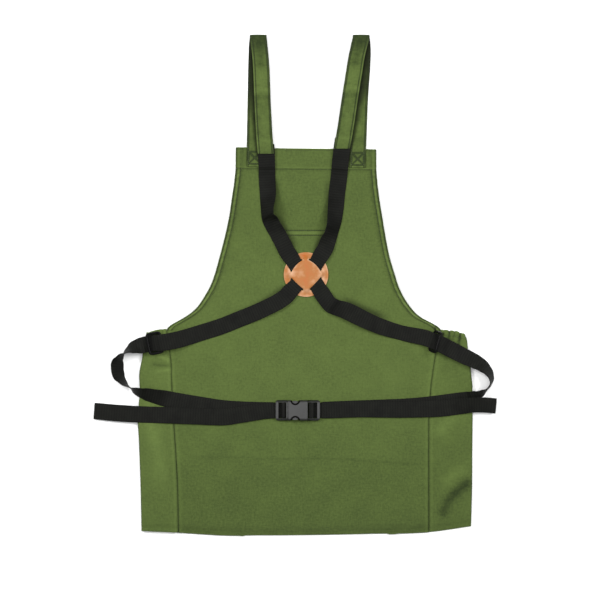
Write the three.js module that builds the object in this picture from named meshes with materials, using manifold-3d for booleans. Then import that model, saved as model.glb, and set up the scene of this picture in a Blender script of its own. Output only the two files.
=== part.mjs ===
// Gardening apron of green canvas, lying flat with its back upwards.
// Units are millimetres: +X to the right, +Y towards the neck, +Z up from the floor.
// The apron is laid out about its own middle line, with the bottom edge at Y = 0.
// "across" is a share of half the apron's width, "down" a share of its length from the bib's top.
import * as THREE from 'three';
import { mergeVertices } from 'three/addons/utils/BufferGeometryUtils.js';
import Module from 'manifold-3d';

const wasm = await Module();
wasm.setup();

// Driving dimensions of the apron.
const APRON_WIDTH = 550;
const APRON_LENGTH = 636;
const CANVAS = 1.2;
const POUCH_ROOM = 5.5;
const BIB_HEM = 33;
const BIB_SLANT = 3;
const SIDE_HEM = 9;
const BOTTOM_ROLL = 16;
const GUSSET_TURN = 9;
const GATHER_RISE = 1.6;
const GATHER_REACH = 22;
const GATHER_SAG = 6;

// Driving dimensions of the straps and the webbing.
const STRAP_WIDTH = 27;
const STRAP_RISE = 188;
const STRAP_FOLD_ROOM = 2;
const WEBBING_WIDTH = 25;
const WEBBING = 1.5;

// Driving dimensions of the leather patch, the rings and the buckle.
const PATCH_DIAMETER = 73.5;
const LEATHER = 2;
const PATCH_MIDDLE = 41;
const PATCH_SLOT = 3;
const PATCH_TURN = 2;
const RING_WIRE = 4.4;
const RING_CORNER = 5;
const RING_OPENING = 18.2;
const RING_TAB_WIDTH = 20;
const RING_TAB_LENGTH = 24;
const BUCKLE_LENGTH = 73;
const BUCKLE_WIDTH = 33.6;
const BUCKLE_FRAME = 4;
const END_BAR = 4.5;
const MIDDLE_BAR = 3;
const HOUSING_LENGTH = 33;
const HOUSING_DEPTH = 11;
const HOUSING_WALL = 2;
const SCOOP_RADIUS = 7.1;

// Clearances between pieces that touch or pass through one another.
const SEAT = 0.3;
const RING_PLAY = 4;
const SLOT_PLAY = 2;
const BUCKLE_PLAY = 0.5;

// Places, as shares of the apron's length, where the cloth's curves and levels start and end.
const BIB_CLIMB = { from: 0.02, to: 0.2 };
const BIB_SLANT_END = 0.12;
const BOTTOM_BOW_START = 0.8;
const SEAM_DIP = { from: 0.2175, to: 0.36 };
const STRAP_CLIMB = { under: [-0.04, -0.01], upper: [-0.11, -0.03] };
const BODY_COLUMNS = [0.15, 0.28, 0.4, 0.5, 0.6, 0.72, 0.85];
const POUCH_COLUMNS = [0, 0.12, 0.25, 0.38, 0.5, 0.62, 0.75, 0.88, 1];
const ROLL_ROWS = [0.33, 0.66];

// Levels that follow from the sizes above.
const HALF_WIDTH = APRON_WIDTH / 2;
const SEAM_LEVEL = CANVAS + SEAT;
const BACK_LEVEL = CANVAS + POUCH_ROOM;
const BACK_TOP = BACK_LEVEL + CANVAS;
const STRAP = 2 * CANVAS;
const SECOND_LAYER = WEBBING + SEAT;
const OVER_RIM = LEATHER + SEAT;
const OVER_TAB = 2 * (CANVAS + SEAT);
const OVER_RING = OVER_TAB + RING_WIRE + SEAT;
const UNDER_RING = 2 * GATHER_RISE;
const OVER_STRAP = CANVAS + SEAT + STRAP;

// The back panel's edges. The last armhole row is the corner where the side seam starts.
const BODY_EDGES = [
  { down: 0, left: 0.42, right: 0.42 },
  { down: 0.06, left: 0.422, right: 0.421 },
  { down: 0.131, left: 0.444, right: 0.438 },
  { down: 0.178, left: 0.46, right: 0.456 },
  { down: 0.224, left: 0.483, right: 0.473 },
  { down: 0.279, left: 0.516, right: 0.498 },
  { down: 0.326, left: 0.546, right: 0.531 },
  { down: 0.359, left: 0.576, right: 0.555 },
  { down: 0.39, left: 0.618, right: 0.592 },
  { down: 0.416, left: 0.662, right: 0.635 },
  { down: 0.437, left: 0.728, right: 0.684 },
  { down: 0.448, left: 0.773, right: 0.738 },
  { down: 0.459, left: 0.823, right: 0.787 },
  { down: 0.468, left: 0.834, right: 0.806 },
  { down: 0.507, left: 0.823, right: 0.786 },
  { down: 0.546, left: 0.809, right: 0.77 },
  { down: 0.611, left: 0.804, right: 0.748 },
  { down: 0.702, left: 0.794, right: 0.735 },
  { down: 0.78, left: 0.781, right: 0.735 },
  { down: 0.883, left: 0.769, right: 0.735 },
  { down: 1, left: 0.765, right: 0.736 },
];

// The folds at the apron's two sides, where the pouch's cloth turns to the front.
const FOLD_EDGES = [
  { down: 0.468, left: 0.951, right: 0.942 },
  { down: 0.507, left: 0.969, right: 0.96 },
  { down: 0.546, left: 0.985, right: 0.981 },
  { down: 0.611, left: 0.996, right: 0.998 },
  { down: 0.702, left: 1.004, right: 0.999 },
  { down: 0.78, left: 1, right: 0.997 },
  { down: 0.883, left: 0.992, right: 0.996 },
  { down: 1, left: 0.987, right: 0.99 },
];

// Half the pouch front's width from its top seam down its two slanting mouths.
const MOUTH_EDGES = [
  { down: 0.2075, half: 0.21 },
  { down: 0.2225, half: 0.215 },
  { down: 0.28, half: 0.285 },
  { down: 0.34, half: 0.39 },
  { down: 0.4, half: 0.51 },
  { down: 0.44, half: 0.625 },
  { down: 0.463, half: 0.74 },
];
const MOUTH_END = FOLD_EDGES[0].down;

// Rows shared by the pouch front and the gussets. The second is where the pouch front's slanting
// mouths meet the gussets.
const SIDE_ROWS = [0.4722, 0.4788, 0.489, 0.503, 0.53, 0.56, 0.611, 0.702, 0.78, 0.883, 0.95];
const POUCH_CORNER = SIDE_ROWS[1];

// How far the bottom edge bows up from its lowest line, as a share of the apron's length.
const BOTTOM_BOW = [
  { across: -1, rise: 0.0135 },
  { across: -0.77, rise: 0.009 },
  { across: -0.41, rise: 0 },
  { across: 0, rise: 0 },
  { across: 0.45, rise: 0.004 },
  { across: 0.74, rise: 0.0104 },
  { across: 1, rise: 0.026 },
];

// The crease across the lower back: where it runs, and its height as a share of the cloth.
const CREASE = [
  { across: -0.72, down: 0.795 },
  { across: -0.25, down: 0.802 },
  { across: 0.08, down: 0.802 },
  { across: 0.42, down: 0.811 },
  { across: 0.72, down: 0.818 },
];
const CREASE_ROWS = [0.79, 0.8, 0.81, 0.82, 0.84, 0.95];
const CREASE_FADE = { from: 0.5, to: 0.72 };
const CREASE_RISE = 0.9 * CANVAS;
const CREASE_WIDTH = 14;

// The middle line of each canvas strap, from its stitched end up to the fold and back down.
const LEFT_STRAP = {
  under: [
    { across: -0.309, down: 0.043 },
    { across: -0.307, down: 0.01 },
    { across: -0.306, down: -0.03 },
    { across: -0.302, down: -0.12 },
    { across: -0.296, down: -0.24 },
  ],
  foldAcross: -0.285,
  upper: [
    { across: -0.273, down: -0.24 },
    { across: -0.267, down: -0.2 },
    { across: -0.26, down: -0.12 },
    { across: -0.25, down: -0.04 },
    { across: -0.241, down: 0.01 },
  ],
};
const RIGHT_STRAP = {
  under: [
    { across: 0.309, down: 0.046 },
    { across: 0.31, down: 0.01 },
    { across: 0.315, down: -0.04 },
    { across: 0.323, down: -0.13 },
    { across: 0.339, down: -0.24 },
  ],
  foldAcross: 0.329,
  upper: [
    { across: 0.303, down: -0.24 },
    { across: 0.288, down: -0.2 },
    { across: 0.262, down: -0.13 },
    { across: 0.238, down: -0.06 },
    { across: 0.215, down: -0.003 },
  ],
};

// Routes of the webbing. "tip" turns a band about its own line, in degrees from lying flat.
// "rest" is 1 where its low side lies on the apron's back and 0 on the floor.
// "lift" is the extra height over what it rests on. Rows on the leather patch give their "reach"
// along the line through two of its slots, and how far they lie "aside" of that line, both as
// shares of the way from the patch's middle to the slots' outer edges.
const LEFT_CROSS = [
  { across: -0.2424, down: -0.012, tip: 0, lift: OVER_STRAP },
  { across: -0.239, down: 0.012, tip: 0, lift: OVER_STRAP },
  { across: -0.234, down: 0.042, tip: 0, lift: OVER_STRAP },
  { across: -0.233, down: 0.056, tip: 0, lift: CANVAS + SEAT },
  { across: -0.232, down: 0.072, tip: 0, lift: 0 },
  { across: -0.225, down: 0.115, tip: 6, lift: 0 },
  { across: -0.22, down: 0.152, tip: 20, lift: 0 },
  { across: -0.198, down: 0.189, tip: 8, lift: SEAT },
  { across: -0.1638, down: 0.2218, tip: 0, lift: SEAT },
  { across: -0.1368, down: 0.2451, tip: 0, lift: LEATHER },
  { reach: -2.01, aside: 0.25, tip: 0, lift: OVER_RIM },
  { reach: -1.47, aside: 0.13, tip: 0, lift: OVER_RIM },
  { reach: -0.94, aside: 0, tip: 0, lift: OVER_RIM },
  { reach: -0.47, aside: 0, tip: 0, lift: OVER_RIM },
  { reach: 0, aside: 0, tip: 0, lift: OVER_RIM },
  { reach: 0.47, aside: 0, tip: 0, lift: OVER_RIM },
  { reach: 0.94, aside: 0, tip: 0, lift: OVER_RIM },
  { reach: 1.39, aside: -0.12, tip: 0, lift: OVER_RIM },
  { reach: 1.89, aside: -0.23, tip: 0, lift: OVER_RIM },
  { across: 0.138, down: 0.392, tip: 8, lift: OVER_RIM },
  { across: 0.1788, down: 0.4039, tip: 14, lift: OVER_RIM },
  { across: 0.213, down: 0.413, tip: 10, lift: 0.2 * WEBBING_WIDTH },
  { across: 0.288, down: 0.4293, tip: 4, lift: 0.28 * WEBBING_WIDTH },
  { across: 0.366, down: 0.445, tip: 0, lift: 0.28 * WEBBING_WIDTH },
  { across: 0.456, down: 0.4604, tip: 0, lift: 0.16 * WEBBING_WIDTH },
  { across: 0.573, down: 0.4755, tip: 0, lift: SEAT },
  { across: 0.66, down: 0.484, tip: 0, lift: OVER_TAB + SEAT },
  { across: 0.7, down: 0.4875, tip: 0, lift: OVER_TAB + WEBBING },
  { across: 0.745, down: 0.492, tip: 0, lift: OVER_RING },
  { across: 0.777, down: 0.4965, tip: 0, lift: OVER_RING },
];
const RIGHT_CROSS = [
  { across: 0.2244, down: -0.027, tip: 0, lift: OVER_STRAP },
  { across: 0.217, down: 0, tip: 0, lift: OVER_STRAP },
  { across: 0.206, down: 0.044, tip: 0, lift: OVER_STRAP },
  { across: 0.203, down: 0.058, tip: 0, lift: CANVAS + SEAT },
  { across: 0.199, down: 0.074, tip: 0, lift: 0 },
  { across: 0.186, down: 0.1154, tip: 0, lift: 0 },
  { across: 0.178, down: 0.152, tip: -10, lift: 0 },
  { across: 0.167, down: 0.1855, tip: -14, lift: 0 },
  { across: 0.15, down: 0.221, tip: 0, lift: SEAT },
  { across: 0.13, down: 0.242, tip: 0, lift: LEATHER },
  { reach: -2.18, aside: -0.24, tip: 0, lift: OVER_RIM },
  { reach: -1.54, aside: -0.12, tip: 0, lift: OVER_RIM },
  { reach: -1.02, aside: 0, tip: 0, lift: OVER_RIM },
  { reach: -0.745, aside: 0, tip: 0, lift: 0.55 * OVER_RIM },
  { reach: -0.55, aside: 0, tip: 0, lift: SEAT },
  { reach: 0, aside: 0, tip: 0, lift: 0 },
  { reach: 0.55, aside: 0, tip: 0, lift: SEAT },
  { reach: 0.745, aside: 0, tip: 0, lift: 0.55 * OVER_RIM },
  { reach: 1.02, aside: 0, tip: 0, lift: OVER_RIM },
  { reach: 1.35, aside: 0, tip: 0, lift: OVER_RIM },
  { reach: 1.75, aside: 0, tip: 0, lift: OVER_RIM },
  { reach: 2.15, aside: 0, tip: 0, lift: OVER_RIM },
  { across: -0.18, down: 0.398, tip: 4, lift: LEATHER },
  { across: -0.285, down: 0.42, tip: 4, lift: SEAT },
  { across: -0.393, down: 0.439, tip: 0, lift: 0 },
  { across: -0.516, down: 0.46, tip: 0, lift: 0 },
  { across: -0.651, down: 0.4775, tip: 0, lift: 0 },
  { across: -0.733, down: 0.4865, tip: 0, lift: OVER_TAB + SEAT },
  { across: -0.785, down: 0.4915, tip: 0, lift: OVER_TAB + 2 * WEBBING },
  { across: -0.83, down: 0.4955, tip: 0, lift: OVER_RING },
  { across: -0.868, down: 0.499, tip: 0, lift: OVER_RING },
  { across: -0.895, down: 0.5015, tip: 0, lift: 0.72 * OVER_RING },
];
const LEFT_WAIST = [
  { across: -0.898, down: 0.5012, tip: 0, rest: 1, lift: 0.7 * OVER_RING },
  { across: -0.925, down: 0.503, tip: 0, rest: 1, lift: UNDER_RING },
  { across: -0.96, down: 0.5055, tip: 0, rest: 1, lift: UNDER_RING },
  { across: -0.985, down: 0.508, tip: 10, rest: 1, lift: UNDER_RING },
  { across: -1.03, down: 0.5123, tip: 40, rest: 0.4, lift: 0 },
  { across: -1.077, down: 0.5227, tip: 75, rest: 0, lift: 0 },
  { across: -1.11, down: 0.537, tip: 110, rest: 0, lift: 0 },
  { across: -1.13, down: 0.5565, tip: 138, rest: 0, lift: 0 },
  { across: -1.124, down: 0.5824, tip: 136, rest: 0, lift: 0 },
  { across: -1.095, down: 0.602, tip: 112, rest: 0, lift: 0 },
  { across: -1.059, down: 0.6155, tip: 90, rest: 0.4, lift: 0 },
  { across: -1.005, down: 0.628, tip: 58, rest: 1, lift: 0 },
  { across: -0.927, down: 0.6373, tip: 32, rest: 1, lift: 0 },
  { across: -0.816, down: 0.648, tip: 2, rest: 1, lift: 0 },
  { across: -0.72, down: 0.6555, tip: 0, rest: 1, lift: 0 },
  { across: -0.63, down: 0.662, tip: 0, rest: 1, lift: 0 },
  { across: -0.51, down: 0.67, tip: 0, rest: 1, lift: 0 },
  { across: -0.378, down: 0.6742, tip: 0, rest: 1, lift: 0 },
  { across: -0.264, down: 0.6757, tip: 0, rest: 1, lift: 0 },
];
const RIGHT_WAIST = [
  { across: 0.78, down: 0.4958, tip: 0, rest: 1, lift: OVER_RING },
  { across: 0.822, down: 0.505, tip: 0, rest: 1, lift: OVER_RING },
  { across: 0.873, down: 0.5187, tip: -4, rest: 1, lift: UNDER_RING + SEAT },
  { across: 0.94, down: 0.5345, tip: -12, rest: 1, lift: SEAT },
  { across: 1.002, down: 0.547, tip: -24, rest: 0.8, lift: 0 },
  { across: 1.053, down: 0.5596, tip: -38, rest: 0.2, lift: 0 },
  { across: 1.091, down: 0.5746, tip: -55, rest: 0, lift: 0 },
  { across: 1.11, down: 0.5915, tip: -68, rest: 0, lift: 0 },
  { across: 1.108, down: 0.607, tip: -80, rest: 0, lift: 0 },
  { across: 1.088, down: 0.6203, tip: -82, rest: 0, lift: 0 },
  { across: 1.053, down: 0.631, tip: -60, rest: 0.4, lift: 0 },
  { across: 1.015, down: 0.6385, tip: -34, rest: 0.9, lift: 0 },
  { across: 0.972, down: 0.6445, tip: -12, rest: 1, lift: 0 },
  { across: 0.894, down: 0.6516, tip: -3, rest: 1, lift: 0 },
  { across: 0.78, down: 0.6589, tip: 0, rest: 1, lift: 0 },
  { across: 0.618, down: 0.6659, tip: 0, rest: 1, lift: 0 },
  { across: 0.432, down: 0.6695, tip: 0, rest: 1, lift: 0 },
  { across: 0.234, down: 0.6726, tip: 0, rest: 1, lift: 0 },
  { across: 0.16, down: 0.674, tip: 0, rest: 1, lift: 0 },
];
const LEFT_TAIL = [
  { across: -0.264, down: 0.6785, tip: 0, rest: 1, lift: SECOND_LAYER },
  { across: -0.396, down: 0.688, tip: 0, rest: 1, lift: SECOND_LAYER },
  { across: -0.496, down: 0.6938, tip: 0, rest: 1, lift: SECOND_LAYER },
  { across: -0.636, down: 0.692, tip: 0, rest: 1, lift: SECOND_LAYER },
  { across: -0.822, down: 0.6887, tip: 0, rest: 1, lift: SECOND_LAYER },
  { across: -0.935, down: 0.687, tip: 0, rest: 1, lift: SEAT },
  { across: -1.02, down: 0.685, tip: 0, rest: 0.95, lift: SEAT },
  { across: -1.142, down: 0.6815, tip: 0, rest: 0.7, lift: 0 },
  { across: -1.269, down: 0.6773, tip: 0, rest: 0.35, lift: 0 },
];
const RIGHT_TAIL = [
  { across: 0.16, down: 0.6755, tip: 0, rest: 1, lift: SECOND_LAYER },
  { across: 0.324, down: 0.6732, tip: 0, rest: 1, lift: SECOND_LAYER },
  { across: 0.564, down: 0.6742, tip: 0, rest: 1, lift: SECOND_LAYER },
  { across: 0.78, down: 0.6721, tip: 0, rest: 1, lift: SECOND_LAYER },
  { across: 0.87, down: 0.6685, tip: 4, rest: 1, lift: SECOND_LAYER },
  { across: 0.94, down: 0.665, tip: 12, rest: 1, lift: SECOND_LAYER },
  { across: 1.003, down: 0.6625, tip: 15, rest: 1, lift: SECOND_LAYER },
  { across: 1.074, down: 0.6628, tip: 5, rest: 1, lift: SEAT },
  { across: 1.137, down: 0.6654, tip: 0, rest: 0.8, lift: 0 },
];

// Headings of the two bands through the patch, in degrees.
const LEFT_HEADING = PATCH_TURN - 45;
const RIGHT_HEADING = PATCH_TURN - 135;

// Where the patch, the buckle and the rings' inner bars sit. A ring's turn is its bar's slant,
// and its tilt lifts its outer bar off the cloth.
const PATCH_PLACE = { across: 0, down: 0.3245 };
const BUCKLE_PLACE = { across: -0.0495, down: 0.676 };
const LEFT_RING = { side: -1, across: -0.866, down: 0.4988, turn: 11, tilt: 12 };
const RIGHT_RING = { side: 1, across: 0.77, down: 0.495, turn: -20, tilt: 60 };

const CLOTH_GREEN = 0x5f7339;
const WEBBING_BLACK = 0x232323;
const LEATHER_TAN = 0xcb7d46;
const BUCKLE_BLACK = 0x2e2e2d;

const apron = new THREE.Group();

const widthAt = (across) => across * HALF_WIDTH;
const heightUp = (down) => APRON_LENGTH * (1 - down);
const rollStart = 1 - BOTTOM_ROLL / APRON_LENGTH;
const rollRows = [rollStart, ...ROLL_ROWS.map((share) => rollStart + share * (1 - rollStart))];

// Smooth value of one column of a table at a place between its rows.
function follow(table, key, column, value) {
  const last = table.length - 1;
  const at = THREE.MathUtils.clamp(value, table[0][key], table[last][key]);
  const slope = (i) => {
    const before = table[Math.max(i - 1, 0)];
    const after = table[Math.min(i + 1, last)];
    return (after[column] - before[column]) / (after[key] - before[key]);
  };
  let i = 0;
  while (i < last - 1 && at > table[i + 1][key]) i += 1;
  const span = table[i + 1][key] - table[i][key];
  const t = (at - table[i][key]) / span;
  const start = table[i][column];
  const rise = table[i + 1][column] - start;
  const first = slope(i) * span;
  const second = slope(i + 1) * span;
  return start + t * (first + t * (3 * rise - 2 * first - second + t * (first + second - 2 * rise)));
}

// Height of the floor-side face of the apron's back panel.
function backUnder(down) {
  const bib = 1 - THREE.MathUtils.smoothstep(down, BIB_CLIMB.from, BIB_CLIMB.to);
  const roll = THREE.MathUtils.smoothstep(down, rollStart, 1);
  return BACK_LEVEL * (1 - bib) + (SEAM_LEVEL - BACK_LEVEL) * roll;
}

const backTop = (down) => backUnder(down) + CANVAS;

// Y of a point of the cloth: the bib's top slants a little and the bottom edge bows up.
function clothY(across, down) {
  const slant = BIB_SLANT * across * (1 - THREE.MathUtils.smoothstep(down, 0, BIB_SLANT_END));
  const bow = follow(BOTTOM_BOW, 'across', 'rise', across) * APRON_LENGTH;
  return heightUp(down) - slant + bow * THREE.MathUtils.smoothstep(down, BOTTOM_BOW_START, 1);
}

function creaseRise(across, down) {
  const line = follow(CREASE, 'across', 'down', across);
  const offset = ((down - line) * APRON_LENGTH) / CREASE_WIDTH;
  const fade = 1 - THREE.MathUtils.smoothstep(Math.abs(across), CREASE_FADE.from, CREASE_FADE.to);
  return fade * CREASE_RISE * Math.exp(-offset * offset);
}

// A closed slab over a grid: pointAt takes the two stops and 0 or 1 for its two faces.
function slab(columns, rows, pointAt) {
  const spansX = columns.length - 1;
  const spansY = rows.length - 1;
  const geometry = new THREE.BoxGeometry(1, 1, 1, spansX, spansY, 1);
  const position = geometry.getAttribute('position');
  for (let i = 0; i < position.count; i += 1) {
    const column = Math.round((position.getX(i) + 0.5) * spansX);
    const row = Math.round((position.getY(i) + 0.5) * spansY);
    const point = pointAt(columns[column], rows[row], Math.round(position.getZ(i) + 0.5));
    position.setXYZ(i, point.x, point.y, point.z);
  }
  return merged(geometry);
}

function merged(geometry) {
  geometry.deleteAttribute('normal');
  geometry.deleteAttribute('uv');
  return mergeVertices(geometry, 1e-4);
}

function addPiece(name, geometry, color, roughness) {
  const material = new THREE.MeshStandardMaterial({ color, roughness, metalness: 0 });
  const mesh = new THREE.Mesh(geometry, material);
  mesh.name = name;
  mesh.geometry.computeVertexNormals();
  apron.add(mesh);
  return mesh;
}

const addCanvas = (name, geometry) => addPiece(name, geometry, CLOTH_GREEN, 0.9);
const addWebbing = (name, geometry) => addPiece(name, geometry, WEBBING_BLACK, 0.8);
const addPlastic = (name, geometry) => addPiece(name, geometry, BUCKLE_BLACK, 0.45);

// The table's own downs, with extra rows halfway between those above the mouths.
function rowStops(table, extra) {
  const downs = table.map((row) => row.down);
  const halves = downs.slice(1).map((down, i) => (down + downs[i]) / 2);
  const upper = halves.filter((down) => down < MOUTH_END);
  return [...downs, ...upper, ...extra].sort((a, b) => b - a);
}

// The back panel: one thickness of canvas, two along the hems of the bib.
function bodyGeometry() {
  const step = SEAT;
  const columns = [
    { share: 0, inset: 0 },
    { share: 0, inset: SIDE_HEM },
    { share: 0, inset: SIDE_HEM + step },
    ...BODY_COLUMNS.map((share) => ({ share, inset: 0 })),
    { share: 1, inset: -SIDE_HEM - step },
    { share: 1, inset: -SIDE_HEM },
    { share: 1, inset: 0 },
  ];
  const hemEnd = BIB_HEM / APRON_LENGTH;
  const ends = [hemEnd, hemEnd + step / APRON_LENGTH, MOUTH_END + step / APRON_LENGTH];
  const rows = rowStops(BODY_EDGES, [...ends, ...CREASE_ROWS, ...rollRows]);
  return slab(columns, rows, (column, down, face) => {
    const left = -follow(BODY_EDGES, 'down', 'left', down);
    const right = follow(BODY_EDGES, 'down', 'right', down);
    const inset = column.inset / HALF_WIDTH;
    const across = THREE.MathUtils.lerp(left, right, column.share) + inset;
    const isEdge = column.share % 1 === 0 && Math.abs(column.inset) <= SIDE_HEM;
    const isHem = down <= hemEnd || (isEdge && down <= MOUTH_END);
    const under = backUnder(down) + creaseRise(across, down);
    const z = under + face * (isHem ? STRAP : CANVAS);
    return new THREE.Vector3(widthAt(across), clothY(across, down), z);
  });
}

// The pouch front lies on the floor and rises at its top to the seam on the bib.
function pouchGeometry() {
  const rows = rowStops(MOUTH_EDGES, [...SIDE_ROWS.filter((row) => row >= POUCH_CORNER), 1]);
  const seamDepth = BACK_LEVEL - SEAT - CANVAS;
  const inset = GUSSET_TURN / HALF_WIDTH;
  return slab(POUCH_COLUMNS, rows, (share, down, face) => {
    const inMouth = down < POUCH_CORNER;
    const half = follow(MOUTH_EDGES, 'down', 'half', down);
    const left = inMouth ? half : follow(FOLD_EDGES, 'down', 'left', down) - inset;
    const right = inMouth ? half : follow(FOLD_EDGES, 'down', 'right', down) - inset;
    const across = THREE.MathUtils.lerp(-left, right, share);
    const lift = seamDepth * (1 - THREE.MathUtils.smoothstep(down, SEAM_DIP.from, SEAM_DIP.to));
    return new THREE.Vector3(widthAt(across), clothY(across, down), lift + face * CANVAS);
  });
}

// A side gusset: from the seam on the back, round the fold, to the pouch front's edge.
// Its mouth is gathered between the first gather's place and the fold.
function gussetGeometry(side, gathers, firstGather) {
  const name = side < 0 ? 'left' : 'right';
  const gatherStops = Array.from({ length: 2 * gathers + 1 }, (_, i) => i / (2 * gathers));
  const section = [
    { leg: 'back', share: 0 },
    ...gatherStops.map((stop) => ({ leg: 'back', share: firstGather + stop * (1 - firstGather) })),
    ...[0.25, 0.5, 0.75, 1].map((share) => ({ leg: 'fold', share })),
    { leg: 'front', share: 1 },
  ];
  const columns = side < 0 ? section.slice().reverse() : section;
  const reach = GATHER_REACH / APRON_LENGTH;
  const rows = [MOUTH_END, ...SIDE_ROWS, ...rollRows, 1].sort((a, b) => b - a);
  return slab(columns, rows, (column, row, face) => {
    const fade = 1 - THREE.MathUtils.smoothstep(row, MOUTH_END, MOUTH_END + reach);
    const outward = column.leg === 'back' ? column.share : 1;
    const down = row + (GATHER_SAG / APRON_LENGTH) * fade * outward ** 3;
    const radius = (backUnder(down) + CANVAS) / 2 - CANVAS / 2;
    const seam = widthAt(follow(BODY_EDGES, 'down', name, down)) + SEAT;
    const edge = widthAt(follow(FOLD_EDGES, 'down', name, down));
    const turn = edge - radius - CANVAS / 2;
    const middle = radius + CANVAS / 2;
    const level = radius + (face - 0.5) * CANVAS;
    const angle = column.leg === 'fold' ? Math.PI * (0.5 - column.share) : Math.PI / 2;
    const flatX = THREE.MathUtils.lerp(seam, turn, outward);
    let x = column.leg === 'fold' ? turn + level * Math.cos(angle) : flatX;
    let z = middle + level * Math.sin(angle);
    if (column.leg === 'front') {
      x = edge - GUSSET_TURN + SEAT;
      z = middle - level;
    }
    if (column.leg === 'back') {
      const place = Math.max(0, (outward - firstGather) / (1 - firstGather));
      z += GATHER_RISE * fade * Math.sin(Math.PI * gathers * place) ** 2;
    }
    return new THREE.Vector3(side * x, clothY((side * x) / HALF_WIDTH, down), z);
  });
}

// A band swept through stations, each with its middle and the direction of its width.
function bandGeometry(stations, width, thickness) {
  const last = stations.length - 1;
  const rows = stations.map((station, i) => i);
  return slab([-0.5, 0.5], rows, (share, i, face) => {
    const { middle, across } = stations[i];
    const ahead = stations[Math.min(i + 1, last)].middle;
    const behind = stations[Math.max(i - 1, 0)].middle;
    const along = ahead.clone().sub(behind).normalize();
    const normal = across.clone().cross(along).normalize();
    const level = (face - 0.5) * thickness;
    return middle.clone().addScaledVector(across, share * width).addScaledVector(normal, level);
  });
}

// The place in plan of one row of a route, also of one on the patch.
function planPoint(row, heading) {
  if (row.reach === undefined) return new THREE.Vector2(widthAt(row.across), heightUp(row.down));
  const slotEdge = PATCH_MIDDLE / 2 + PATCH_SLOT;
  const middle = new THREE.Vector2(widthAt(PATCH_PLACE.across), heightUp(PATCH_PLACE.down));
  const offset = new THREE.Vector2(row.reach, row.aside).multiplyScalar(slotEdge);
  return offset.rotateAround(new THREE.Vector2(), THREE.MathUtils.degToRad(heading)).add(middle);
}

// Stations of a webbing band along a route, resting with its low side on what lies below.
function routeStations(route, perRow, heading = 0) {
  const plan = new THREE.SplineCurve(route.map((row) => planPoint(row, heading)));
  const column = (name, t) => {
    const i = Math.min(Math.floor(t * (route.length - 1)), route.length - 2);
    const share = THREE.MathUtils.smoothstep(t * (route.length - 1) - i, 0, 1);
    return THREE.MathUtils.lerp(route[i][name] ?? 1, route[i + 1][name] ?? 1, share);
  };
  const count = perRow * (route.length - 1);
  return Array.from({ length: count + 1 }, (_, i) => {
    const t = i / count;
    const place = plan.getPoint(t);
    const along = plan.getTangent(t);
    const tip = THREE.MathUtils.degToRad(column('tip', t));
    const top = backTop(1 - place.y / APRON_LENGTH) * column('rest', t);
    const half = (WEBBING_WIDTH * Math.abs(Math.sin(tip)) + WEBBING * Math.abs(Math.cos(tip))) / 2;
    const z = top + SEAT + half + column('lift', t);
    const flat = new THREE.Vector3(-along.y, along.x, 0).multiplyScalar(Math.cos(tip));
    return {
      middle: new THREE.Vector3(place.x, place.y, z),
      across: flat.add(new THREE.Vector3(0, 0, Math.sin(tip))),
    };
  });
}

// The start of a band that carries on from the end of another one.
function carriedOn(stations) {
  const end = stations[stations.length - 1];
  const before = stations[stations.length - 2];
  const along = end.middle.clone().sub(before.middle).normalize();
  return { middle: end.middle.clone().addScaledVector(along, SEAT), across: end.across };
}

// One leg of a strap: a plan through its rows, at the level that its place calls for.
function legStations(rows, perRow, levelAt) {
  const points = rows.map((row) => new THREE.Vector2(widthAt(row.across), heightUp(row.down)));
  const plan = new THREE.SplineCurve(points);
  const count = perRow * (rows.length - 1);
  return Array.from({ length: count + 1 }, (_, i) => {
    const { x, y } = plan.getPoint(i / count);
    const level = levelAt(1 - y / APRON_LENGTH);
    return { middle: new THREE.Vector3(x, y, level), across: new THREE.Vector3(1, 0, 0) };
  });
}

// A canvas strap: up its lower leg, round the fold, and down its upper leg.
function strapStations({ under, foldAcross, upper }) {
  const fold = (STRAP + STRAP_FOLD_ROOM) / 2;
  const foldDown = -(STRAP_RISE - fold - STRAP / 2) / APRON_LENGTH;
  const top = { across: foldAcross, down: foldDown };
  const onBib = backTop(0) + CANVAS + SEAT;
  const overStack = onBib + STRAP + SECOND_LAYER + SEAT;
  const lower = legStations([...under, top], 3, (down) => {
    const share = THREE.MathUtils.smoothstep(down, ...STRAP_CLIMB.under);
    return STRAP / 2 + share * (onBib + backTop(Math.max(down, 0)) - backTop(0));
  });
  const higher = legStations([top, ...upper], 3, (down) => {
    const share = THREE.MathUtils.smoothstep(down, ...STRAP_CLIMB.upper);
    return STRAP / 2 + THREE.MathUtils.lerp(2 * fold, overStack, share);
  });
  const turn = [-54, -18, 18, 54].map((degrees) => {
    const angle = THREE.MathUtils.degToRad(degrees);
    const y = heightUp(foldDown) + fold * Math.cos(angle);
    const middle = new THREE.Vector3(widthAt(foldAcross), y, STRAP / 2 + fold + fold * Math.sin(angle));
    return { middle, across: new THREE.Vector3(1, 0, 0) };
  });
  return [...lower, ...turn, ...higher];
}

// A wire ring: a torus pulled out into a rounded rectangle, its inner bar along its own Y axis.
function ringGeometry() {
  const straightX = (RING_OPENING + RING_WIRE) / 2 - RING_CORNER;
  const straightY = (WEBBING_WIDTH + RING_PLAY + RING_WIRE) / 2 - RING_CORNER;
  const segments = 20;
  const geometry = new THREE.TorusGeometry(RING_CORNER, RING_WIRE / 2, 8, segments);
  geometry.rotateZ(Math.PI / segments);
  const position = geometry.getAttribute('position');
  for (let i = 0; i < position.count; i += 1) {
    const x = position.getX(i);
    const y = position.getY(i);
    position.setX(i, x + Math.sign(x) * straightX + straightX + RING_CORNER);
    position.setY(i, y + Math.sign(y) * straightY);
  }
  return merged(geometry);
}

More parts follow.
